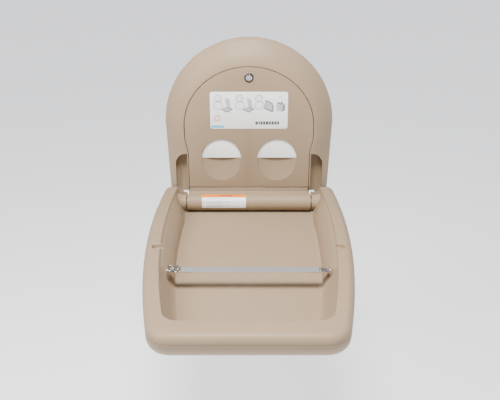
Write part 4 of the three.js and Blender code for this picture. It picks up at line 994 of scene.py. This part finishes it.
def make_webbing():
    path = web_path()
    ahead = np.gradient(path, axis=0)
    ahead /= np.linalg.norm(ahead, axis=1, keepdims=True)
    normal = np.stack([-ahead[:, 1], ahead[:, 0]], axis=1)
    run = np.concatenate([[0], np.cumsum(np.linalg.norm(np.diff(path, axis=0), axis=1))])
    edge = WEB_HALF
    over = [(-edge, 0.0), (-edge + 0.25, 0.3), (-edge + 0.8, 0.44), (-8, 0.46), (-4, 0.46), (0, 0.46), (4,
            0.46),
            (8, 0.46), (edge - 0.8, 0.44), (edge - 0.25, 0.3), (edge, 0.0)]
    section = over + [(a, -b) for a, b in over[1:-1]][::-1]
    count = len(section)
    points, cloth = [], []
    for at, side, length in zip(path, normal, run):
        for across, lift in section:
            points.append((at[0] + side[0] * lift, -STRAP_DEPTH + across, at[1] + side[1] * lift))
            cloth.append((length * MM, (across + edge) * MM))
    faces = [(r * count + i, r * count + (i + 1) % count, (r + 1) * count + (i + 1) % count,
            (r + 1) * count + i)
             for r in range(len(path) - 1) for i in range(count)]
    faces.append(tuple(range(count))[::-1])
    faces.append(tuple((len(path) - 1) * count + i for i in range(count)))
    piece = new_piece("safety_strap", points, faces, ("webbing",))
    layer = piece.data.uv_layers.new(name="cloth")
    for loop in piece.data.loops:
        layer.data[loop.index].uv = cloth[loop.vertex_index]
    tidy(piece, 0.002)
    return soften(piece, 60), float(run[-1])


def make_stitches():
    """A sewn box with a cross at each end of the strap, and the thread's underside below it."""
    points, edges = [], []
    for start, end in ((WEB_LEFT + 5, WEB_LEFT + 27), (WEB_RIGHT - 27, WEB_RIGHT - 5)):
        for height in (STRAP_HEIGHT + 0.98, STRAP_HEIGHT - 0.98):
            first = len(points)
            points += [(x, -STRAP_DEPTH + y, height) for x, y in ((start, -8), (end, -8), (end, 8),
                    (start, 8))]
            edges += [(first, first + 1), (first + 1, first + 2), (first + 2, first + 3), (first + 3, first),
                      (first, first + 2), (first + 1, first + 3)]
    mesh = bpy.data.meshes.new("strap_stitches")
    mesh.from_pydata([tuple(c * MM for c in p) for p in points], edges, [])
    piece = bpy.data.objects.new("strap_stitches", mesh)
    bpy.context.scene.collection.objects.link(piece)
    look = bpy.context.scene.changing_table_sizes
    run_tree(piece, stitch_tree(), {"Stitch length": look.stitch_length, "Thread radius": 0.0003})
    return soften(piece)


def make_buckle_frame():
    pin = PIN_X, STRAP_HEIGHT
    low, high = STRAP_DEPTH - WEB_HALF + 1.2, STRAP_DEPTH + WEB_HALF - 1.2
    frame_piece = prism("buckle_body", rounded(PIN_X + 1, WEB_LEFT - 0.4, low, high, 3), upright,
                        STRAP_HEIGHT - 1.9, STRAP_HEIGHT + 0.9, 0.7, finishes=("chrome",))
    hub = prism("hub", disc(4.15, *pin, 40), into_room, low, high, 0.8)
    cheeks = [prism("cheek", rounded(WEB_LEFT - 11.2, WEB_LEFT - 3.4, STRAP_HEIGHT - 0.8,
            STRAP_HEIGHT + 8.3, 3),
                    into_room, start, start + 1.8, 0.4) for start in (low, high - 1.8)]
    combine(frame_piece, [hub, *cheeks], "UNION")
    window = prism("window", rounded(PIN_X + 8.5, WEB_LEFT - 13, low + 5, high - 5, 2), upright, 10, 40)
    combine(frame_piece, [prism("pin_bore", disc(2.3, *pin, 24), into_room, low - 4, high + 4), window])
    return soften(frame_piece)


def make_buckle_lever():
    low, high = STRAP_DEPTH - WEB_HALF + 3.6, STRAP_DEPTH + WEB_HALF - 3.6
    over = spline([(WEB_LEFT - 6, 31.6), (WEB_LEFT - 10, 32.1), (WEB_LEFT - 16, 31.2), (WEB_LEFT - 21, 31.3),
                   (WEB_LEFT - 23.6, 31.9)], 5)
    outline = [tuple(p) for p in over] + [(p[0], p[1] - 1.5) for p in over][::-1]
    lever = prism("buckle_latch", outline, into_room, low, high, 0.4, finishes=("chrome",))
    cam = prism("cam", disc(2.9, WEB_LEFT - 7.3, 29.5, 32), into_room, low, high, 0.5)
    rod = prism("rod", disc(1.4, WEB_LEFT - 7.3, 29.5, 20), into_room, low - 2.2, high + 2.2)
    return soften(combine(lever, [cam, rod], "UNION"))


def make_tongue():
    low, high = STRAP_DEPTH - WEB_HALF + 1.2, STRAP_DEPTH + WEB_HALF - 1.2
    start = WEB_RIGHT + 0.4
    plan = [(start, low), (start + 5, low), (start + 21.2, STRAP_DEPTH - 5), (start + 21.2, STRAP_DEPTH + 5),
            (start + 5, high), (start, high)]
    tongue = prism("strap_tip", plan, upright, STRAP_HEIGHT - 0.9, STRAP_HEIGHT + 1.4, 0.7,
            finishes=("chrome",))
    window = prism("window", rounded(start + 2.4, start + 4.6, low + 3, high - 3, 1), upright, 10, 40)
    return soften(combine(tongue, [window]))


def make_anchors():
    face = -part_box("strap_anchor_left")[0].x / MM
    back = prism("anchor_left", rounded(STRAP_DEPTH - 16.2, STRAP_DEPTH + 16.2, STRAP_HEIGHT - 8.7,
                                        STRAP_HEIGHT + 8.7, 4), along_x, -face + 0.1, -face + 2.3, 0.5,
                 finishes=("chrome",))
    lugs = []
    for start in (STRAP_DEPTH - 16.3, STRAP_DEPTH + 14.1):
        outline = [(-face + 1, STRAP_HEIGHT - 5.8), *[(PIN_X + 4.9 * math.cos(t),
                STRAP_HEIGHT + 5.8 * math.sin(t))
                   for t in np.linspace(-math.pi / 2, math.pi / 2, 13)], (-face + 1, STRAP_HEIGHT + 5.8)]
        lugs.append(prism("lug", outline, into_room, start, start + 2.2, 0.4))
    combine(back, lugs, "UNION")
    combine(back, [prism("bore", disc(2.3, PIN_X, STRAP_HEIGHT, 24), into_room, STRAP_DEPTH - 30,
            STRAP_DEPTH + 30)])
    keeper = prism("anchor_right", rounded(STRAP_DEPTH - 10.2, STRAP_DEPTH + 10.2, STRAP_HEIGHT - 9.7,
                                           STRAP_HEIGHT + 7.7, 4), along_x, face - 2.3, face - 0.1, 0.5,
                   finishes=("chrome",))
    shelf = prism("shelf", rounded(face - 16, face - 1, STRAP_DEPTH - 8.2, STRAP_DEPTH + 8.2, 2), upright,
                  STRAP_HEIGHT - 4.2, STRAP_HEIGHT - 1.4, 0.4)
    combine(keeper, [shelf], "UNION")
    return soften(back), soften(keeper)


# ---------- lock ----------
LOCK_TURNS = 64


def make_lock():
    """A black nickel ring round a bright face, and the plug with its key slot."""
    front = HOUSE_DEPTH
    at = (0.0, LOCK_HEIGHT)
    ring = turned("lock_collar", [(9.3, 34.2), (9.3, front + 0.1), (13.6, front + 0.1), (14.4, front + 0.5),
                                  (14.3, front + 1.2), (13.2, front + 2.0), (11.6, front + 2.25),
                                  (10.5, front + 1.9), (10.0, front + 1.3), (10.0, front + 0.3), (8.2,
                                  front - 0.4),
                                  (8.2, 34.2)], into_room, at, LOCK_TURNS, ("lock_ring",), ring=True)
    face = turned("lock_face", [(8.0, 36.0), (8.0, front), (9.8, front + 0.5), (9.8, front + 1.2),
                                (9.2, front + 1.6), (7.2, front + 1.75), (6.2, front + 1.5), (5.95,
                                front + 1.1),
                                (5.95, 36.0)], into_room, at, LOCK_TURNS, ("chrome",), ring=True)
    plug = turned("lock_key_plug", [(0.0, 33.5), (5.6, 33.5), (5.6, front + 1.2), (5.2, front + 1.7),
                                    (0.0, front + 1.75)], into_room, at, LOCK_TURNS, ("chrome",))
    key_slot = prism("key_slot", rounded(-0.8, 0.8, LOCK_HEIGHT - 3.6, LOCK_HEIGHT + 3.6, 0.6), into_room,
                     front - 3, front + 5)
    combine(plug, [key_slot])
    return soften(ring), soften(face), soften(plug)


# ---------- labels ----------
def print_marks(name, marks, plane, low, high, finishes):
    """Thin printed shapes: each mark is an outline with the number of its finish and a lift."""
    points, faces, kinds = [], [], []
    for outline, kind, lift in marks:
        first, count = len(points), len(outline)
        points += [plane(u, v, low) for u, v in outline] + [plane(u, v, high + lift) for u, v in outline]
        faces.append(tuple(first + i for i in range(count))[::-1])
        faces.append(tuple(first + count + i for i in range(count)))
        faces += [(first + i, first + (i + 1) % count, first + count + (i + 1) % count, first + count + i)
                  for i in range(count)]
        kinds += [kind] * (count + 2)
    piece = new_piece(name, points, faces, finishes)
    for polygon, kind in zip(piece.data.polygons, kinds):
        polygon.material_index = kind
    return tidy(piece, 0.0005)


def ringed(centre_u, centre_v, radius_u, radius_v, kind, line=0.8):
    """A printed oval: a dark line round a white middle."""
    turns = np.linspace(0, 2 * math.pi, 32, endpoint=False)
    return [([(centre_u + radius_u * math.cos(t), centre_v + radius_v * math.sin(t)) for t in turns],
            kind, 0.0),
            ([(centre_u + (radius_u - line) * math.cos(t), centre_v + (radius_v - line) * math.sin(t))
              for t in turns], 4, 0.03)]


def make_instruction_label():
    low, high = (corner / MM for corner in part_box("instruction_label"))
    back, front = -high.y, -low.y
    film = prism("care_label", rounded(low.x + 0.2, high.x - 0.2, low.z + 0.2, high.z - 0.2, 8, 8), into_room,
                 back + 0.02, front, 0.12, 2, finishes=("label",))
    marks = []
    for at, closed in ((-96.0, False), (-29.0, False), (31.0, True)):
        marks += ringed(at + 1, 312.5, 15, 13.5, 0, 1.5)
        marks += ringed(at, 335.5, 11.5, 11.0, 1, 1.4)
        marks.append((disc(1.3, at - 4, 337, 12), 1, 0.06))
        marks.append((disc(1.3, at + 4, 337, 12), 1, 0.06))
        if closed:
            marks.append(([(at + 20, 331), (at + 40, 322), (at + 45, 312), (at + 45, 293), (at + 38, 293),
                           (at + 16, 302)], 0, 0.06))
            marks.append(([(at + 21, 327), (at + 38, 319), (at + 41, 311), (at + 41, 297), (at + 19,
                    304)], 5, 0.09))
        else:
            marks.append(([(at + 22, 338), (at + 37, 331), (at + 39, 309), (at + 26, 313)], 5, 0.06))
            marks.append(([(at + 9, 300), (at + 27, 290), (at + 46, 301), (at + 32, 311)], 0, 0.06))
            marks.append(([(at + 14, 300.5), (at + 27, 293.5), (at + 40, 301), (at + 31, 308)], 5, 0.09))
    marks.append(([(83, 317), (104, 313), (104, 293), (86, 296)], 5, 0.0))
    marks.append(([(104, 313), (111, 320), (111, 299), (104, 293)], 0, 0.0))
    marks.append(([(86, 318), (91, 326), (96, 319), (101, 327), (106, 318), (104, 314)], 0, 0.03))
    marks.append(([(90, 344), (97, 342), (101, 337), (99.6, 336.2), (96, 340.6), (90, 342.4)], 5, 0.0))
    marks += [(disc(11.0, -99, 272, 32), 3, 0.0), (disc(5.0, -99, 272, 24), 4, 0.03),
              (rounded(-118, -77, 241.5, 249, 3), 2, 0.0)]
    at = 20.0
    for wide in (8, 4, 7, 7, 8, 6, 8, 7, 6):
        marks.append((rounded(at, at + wide, 252, 262, 1.2, 3), 1, 0.0))
        at += wide + 1.6
    prints = print_marks("care_label_print", marks, into_room, front - 0.05, front + 0.03,
                         ("print_grey", "print_dark", "print_blue", "print_pink", "label", "print_silver"))
    return soften(film), prints


LABEL_RADIUS = BARREL_RADIUS + 0.75


def on_barrel(u, v, w):
    """A point at x = u, an angle of v degrees above the horizontal, and a radius w."""
    turn = math.radians(v)
    return (u, -HINGE_DEPTH - w * math.cos(turn), w * math.sin(turn))


def patch(u0, u1, v0, v1):
    """A rectangle on the barrel with enough points along its curve."""
    rise = np.linspace(v0, v1, max(2, int(abs(v1 - v0) / 4) + 2))
    return [(u1, v) for v in rise] + [(u0, v) for v in rise[::-1]]


def curved_sheet(name, u0, u1, v0, v1, low, high, finish):
    rows = [[on_barrel(u0, v, low), on_barrel(u1, v, low), on_barrel(u1, v, high), on_barrel(u0, v, high)]
            for v in np.linspace(v0, v1, 40)]
    return loft(name, rows, finishes=(finish,))


def make_notice():
    left, right = (corner.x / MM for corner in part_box("warning_label"))
    film = curved_sheet("notice_film", left + 0.2, right - 0.2, -21.5, 88.5, LABEL_RADIUS - 0.55,
            LABEL_RADIUS - 0.1,
                        "label")
    heading = curved_sheet("notice_heading", left + 0.5, right - 0.5, 57, 88, LABEL_RADIUS - 0.2,
                           LABEL_RADIUS - 0.04, "print_orange")
    marks = [([(left + 45, 66), (left + 53, 66), (left + 49, 79)], 0, 0.0),
             (patch(left + 57, left + 96, 67, 76), 0, 0.0)]
    for row, angle in enumerate((45, 21, -4)):
        marks.append((disc(1.0, 0, 0, 20), 1, 0.0))
        marks[-1] = ([(left + 6 + 2.6 * u, angle + 5.2 * v) for u, v in marks[-1][0]], 1, 0.0)
        for line, reach in enumerate((0.62, 0.9, 0.45)[:3 if row else 2]):
            top = angle + 6 - line * 7
            marks.append((patch(left + 13, left + 13 + reach * 118, top - 2.2, top), 2, 0.0))
    prints = print_marks("notice_print", marks, on_barrel, LABEL_RADIUS - 0.15, LABEL_RADIUS,
                         ("print_dark", "print_orange", "print_grey"))
    return soften(film), soften(heading), prints


# ---------- liners and fasteners ----------
def make_liners(side):
    name = "liner_stack_" + side
    low, high = (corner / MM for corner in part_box(name))
    sheet = prism("folded_liner", rounded(low.x + 1, high.x - 1, low.z + 1, high.z - 1, 3, 3), into_room,
                  -0.85, 0.85, 0.45, 2, finishes=("paper",))
    row = new_piece("folded_liners_" + side, [(0, 0, 0)], [], ("paper",))
    look = bpy.context.scene.changing_table_sizes
    gap = look.sheet_gap
    count = int((high.y - low.y - 2) * MM / gap)
    run_tree(row, sheet_tree(), {"Sheet": sheet, "Gap": gap, "Count": count})
    drop(sheet)
    for vertex in row.data.vertices:
        vertex.co.y += (low.y + 1.3) * MM
    return soften(row)


def screw_shape(length):
    """A countersunk-washer screw, head down, with a cross recess."""
    head = turned("screw_shape", [(0.0, -2.2), (2.4, -2.2), (3.7, -1.6), (4.35, -0.7), (4.4, 0.0), (1.9, 0.1),
                                  (1.9, length - 2), (0.0, length)], upright, (0.0, 0.0), 28, ("screw",))
    arms = [prism("arm", rounded(-2.2, 2.2, -0.45, 0.45, 0.3, 2), upright, -5, -1.0),
            prism("arm", rounded(-0.45, 0.45, -2.2, 2.2, 0.3, 2), upright, -5, -1.0)]
    return soften(combine(head, arms))


def make_screws(name, nodes, shape, seat, finish):
    """The shape at each CAD fastener's place, at that distance above its lowest point."""
    points = []
    for node in nodes:
        low, high = (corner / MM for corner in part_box(node))
        points.append(((low.x + high.x) / 2, (low.y + high.y) / 2, low.z + seat))
    piece = new_piece(name, points, [], (finish,))
    run_tree(piece, fastener_tree(finish), {"Fastener": shape, "Seed": 7})
    drop(shape)
    return soften(piece)


PIN_X = (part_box("strap_pin")[0].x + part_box("strap_pin")[1].x) / MM / 2
CAD_FINISHES = {
    "zinc": ("bed_rail", "gas_crank", "gas_crank_pin", "gas_cylinder_stud", "wall_plate",
             "hinge_bracket_left",
             "hinge_bracket_right", "hinge_shaft", "shaft_clip_left", "shaft_clip_right", "lock_keeper",
             "lock_cam", "lock_nut", "door_pin_left", "door_pin_right", "strap_pin"),
    "nylon": ("bush_left", "bush_right", "liner_tray_left", "liner_tray_right"),
    "rubber": ("stop_bumper_left", "stop_bumper_right"),
    "black_paint": ("gas_cylinder",),
    "chrome": ("gas_rod",),
    "screw": ("lock_cam_screw", "housing_screw_upper_right", "housing_screw_upper_left",
              "housing_screw_lower_right", "housing_screw_lower_left", "bracket_bolt_left_lower",
              "bracket_bolt_left_upper", "bracket_bolt_right_lower", "bracket_bolt_right_upper"),
}


# ---------- add-on: sizes, operators, panel ----------
class ChangingTableColours(bpy.types.PropertyGroup):
    shell: bpy.props.FloatVectorProperty(name="Shell", description="Colour of the moulded shells",
                                         subtype="COLOR", size=4, min=0, max=1, default=linear("96826A"))
    webbing: bpy.props.FloatVectorProperty(name="Webbing", description="Colour of the safety strap",
                                           subtype="COLOR", size=4, min=0, max=1, default=linear("88888B"))
    notice: bpy.props.FloatVectorProperty(name="Notice", description="Colour of the notice's heading",
                                          subtype="COLOR", size=4, min=0, max=1, default=linear("F07A08"))
    floor: bpy.props.FloatVectorProperty(name="Floor", description="Colour of the studio floor",
                                         subtype="COLOR", size=4, min=0, max=1, default=linear("F6F7FA"))


class ChangingTableSizes(bpy.types.PropertyGroup):
    stitch_length: bpy.props.FloatProperty(name="Stitch", description="Length of one stitch on the strap",
                                           unit="LENGTH", default=0.0028, min=0.001, max=0.01)
    sheet_gap: bpy.props.FloatProperty(name="Sheet gap", description="Distance between folded liners",
                                       unit="LENGTH", default=0.0022, min=0.001, max=0.01)
    mounting_height: bpy.props.FloatProperty(name="Mounting height", description="Hinge above the floor",
                                             unit="LENGTH", default=0.87, min=0.5, max=1.5)


class CHANGINGTABLE_OT_bed(bpy.types.Operator):
    """Moulds the tray and the underside of the bed"""
    bl_idname = "changing_table.bed"
    bl_label = "Bed"

    def execute(self, context):
        place(make_bed_top(), "bed", ["bed_top"], "polyethylene")
        place(make_bed_bottom(), "bed", ["bed_bottom"], "polyethylene")
        return {"FINISHED"}


class CHANGINGTABLE_OT_housing(bpy.types.Operator):
    """Moulds the rear housing and the hinge cover"""
    bl_idname = "changing_table.housing"
    bl_label = "Housing"

    def execute(self, context):
        place(make_housing(), "root", ["rear_housing"], "polyethylene")
        place(make_hinge_cover(), "root", ["hinge_cover"], "polyethylene")
        return {"FINISHED"}


class CHANGINGTABLE_OT_door(bpy.types.Operator):
    """Moulds the liner door with its two slots"""
    bl_idname = "changing_table.door"
    bl_label = "Liner door"

    def execute(self, context):
        place(make_door(), "door", ["liner_door"], "polyethylene")
        return {"FINISHED"}


class CHANGINGTABLE_OT_strap(bpy.types.Operator):
    """Weaves the safety strap and makes its buckle, tongue and anchors"""
    bl_idname = "changing_table.strap"
    bl_label = "Strap"

    def execute(self, context):
        webbing, length = make_webbing()
        stitches = make_stitches()
        place(webbing, "strap", ["strap_webbing"], "webbing")
        place(stitches, "strap", (), "webbing")
        place(make_buckle_frame(), "strap", ["buckle_frame"], "chrome")
        place(make_buckle_lever(), "buckle", ["buckle_lever"], "chrome")
        tongue = place(make_tongue(), "strap", ["strap_tongue"], "chrome")
        left, right = make_anchors()
        place(left, "bed", ["strap_anchor_left"], "chrome")
        place(right, "bed", ["strap_anchor_right"], "chrome")
        return {"FINISHED"}


class CHANGINGTABLE_OT_lock(bpy.types.Operator):
    """Turns the lock's ring, face and key plug"""
    bl_idname = "changing_table.lock"
    bl_label = "Lock"

    def execute(self, context):
        ring, face, plug = make_lock()
        place(ring, "door", ["lock_body"], "zinc_steel")
        place(face, "door", (), "chrome")
        place(plug, "lock", ["lock_plug"], "chrome")
        return {"FINISHED"}


class CHANGINGTABLE_OT_labels(bpy.types.Operator):
    """Prints the care label on the door and the notice on the hinge cover, without lettering"""
    bl_idname = "changing_table.labels"
    bl_label = "Labels"

    def execute(self, context):
        film, prints = make_instruction_label()
        place(film, "door", ["instruction_label"], "label_film")
        place(prints, "door", (), "label_film")
        film, heading, prints = make_notice()
        place(film, "root", ["warning_label"], "label_film")
        place(heading, "root", (), "label_film")
        place(prints, "root", (), "label_film")
        return {"FINISHED"}


class CHANGINGTABLE_OT_liners(bpy.types.Operator):
    """Stacks the folded paper liners behind the two slots"""
    bl_idname = "changing_table.liners"
    bl_label = "Liners"

    def execute(self, context):
        for side in ("left", "right"):
            place(make_liners(side), "root", ["liner_stack_" + side], "liner_paper")
        return {"FINISHED"}


class CHANGINGTABLE_OT_fasteners(bpy.types.Operator):
    """Puts the screws in the underside and dresses the steel, nylon and rubber parts"""
    bl_idname = "changing_table.fasteners"
    bl_label = "Fasteners and hardware"

    def execute(self, context):
        screws = ["bed_screw_" + end + side for end in ("rear_", "front_") for side in ("left", "right")]
        place(make_screws("underside_screws", screws, screw_shape(7.2), 2.3, "screw"), "bed", screws,
                "zinc_steel")
        for finish, nodes in CAD_FINISHES.items():
            for node in nodes:
                for slot in bpy.data.objects[node].material_slots:
                    slot.material = finish_of(finish)
        return {"FINISHED"}


class CHANGINGTABLE_OT_stage(bpy.types.Operator):
    """Sets the pale floor, the soft lights and the camera"""
    bl_idname = "changing_table.stage"
    bl_label = "Stage"

    def execute(self, context):
        scene = context.scene
        sizes = scene.changing_table_sizes
        foot = -sizes.mounting_height / MM
        wide = 40000
        floor = new_piece("studio_floor", [(-wide, -wide, foot), (wide, -wide, foot), (wide, wide, foot),
                                           (-wide, wide, foot)], [(0, 1, 2, 3)], ("label",))
        material, tree, shader = new_material("painted_studio_floor")
        where = add_node(tree, "ShaderNodeTexCoord").outputs["Object"]
        dust = add_node(tree, "ShaderNodeTexNoise", {"Scale": 3.0, "Detail": 2.0}, {"Vector": where})
        tint = ramp(tree, dust.outputs["Fac"], [(0.3, shade_of(scene.changing_table_colours.floor, 0.99)),
                                                (0.7, list(scene.changing_table_colours.floor))])
        tree.links.new(tint.outputs["Color"], shader.inputs["Base Color"])
        shader.inputs["Roughness"].default_value = 0.9
        shader.inputs["Specular IOR Level"].default_value = 0.1
        # A lit floor stands for the endless sweep of a studio, which lamps this close can't reach.
        shader.inputs["Emission Color"].default_value = linear("E9EAED")
        shader.inputs["Emission Strength"].default_value = 1.3
        floor.data.materials[0] = material
        world = bpy.data.worlds.new("soft_studio")
        world.use_nodes = True
        background = world.node_tree.nodes["Background"]
        background.inputs["Color"].default_value = linear("E6E9F0")
        background.inputs["Strength"].default_value = 0.4
        scene.world = world
        self.light("key", (-1.8, -1.5, 1.9), (0.0, -0.3, 0.2), 0.9, 62.0, "FFFAF2")
        self.light("fill", (1.9, -2.0, 1.2), (0.0, -0.3, 0.1), 1.6, 3.0, "F6F8FF")
        self.light("top", (-0.1, -1.2, 2.2), (0.0, -0.95, 0.0), 0.9, 132.0, "FFFFFF")
        camera_data = bpy.data.cameras.new("camera")
        camera_data.lens = 50
        camera_data.sensor_width = 36
        camera_data.clip_end = 200
        camera = bpy.data.objects.new("camera", camera_data)
        camera.location = (0.0032, -2.144, 0.8704)
        camera.rotation_euler = (math.radians(67.3), 0, 0)
        scene.collection.objects.link(camera)
        scene.camera = camera
        return {"FINISHED"}

    def light(self, name, at, aim, size, power, tint):
        data = bpy.data.lights.new(name, "AREA")
        data.shape = "DISK"
        data.size = size
        data.energy = power
        data.color = linear(tint)[:3]
        lamp = bpy.data.objects.new(name, data)
        lamp.location = at
        direction = np.array(aim) - np.array(at)
        flat = math.hypot(direction[0], direction[1])
        lamp.rotation_euler = (math.atan2(flat, -direction[2]), 0, math.atan2(-direction[0], direction[1]))
        bpy.context.scene.collection.objects.link(lamp)


OPERATORS = (CHANGINGTABLE_OT_bed, CHANGINGTABLE_OT_housing, CHANGINGTABLE_OT_door, CHANGINGTABLE_OT_strap,
             CHANGINGTABLE_OT_lock, CHANGINGTABLE_OT_labels, CHANGINGTABLE_OT_liners,
             CHANGINGTABLE_OT_fasteners, CHANGINGTABLE_OT_stage)


class CHANGINGTABLE_PT_panel(bpy.types.Panel):
    bl_label = "Changing Table"
    bl_idname = "CHANGINGTABLE_PT_panel"
    bl_space_type = "VIEW_3D"
    bl_region_type = "UI"
    bl_category = "Changing Table"

    def draw(self, context):
        layout = self.layout
        for group in (context.scene.changing_table_colours, context.scene.changing_table_sizes):
            for name in group.__annotations__:
                layout.prop(group, name)
        for operator in OPERATORS:
            layout.operator(operator.bl_idname)


CLASSES = (ChangingTableColours, ChangingTableSizes, *OPERATORS, CHANGINGTABLE_PT_panel)


def register():
    for cls in CLASSES:
        bpy.utils.register_class(cls)
    bpy.types.Scene.changing_table_colours = bpy.props.PointerProperty(type=ChangingTableColours)
    bpy.types.Scene.changing_table_sizes = bpy.props.PointerProperty(type=ChangingTableSizes)


def unregister():
    del bpy.types.Scene.changing_table_colours
    del bpy.types.Scene.changing_table_sizes
    for cls in reversed(CLASSES):
        bpy.utils.unregister_class(cls)


def main():
    register()
    for operator in OPERATORS:
        group, name = operator.bl_idname.split(".")
        getattr(getattr(bpy.ops, group), name)()


if __name__ == "__main__":
    main()
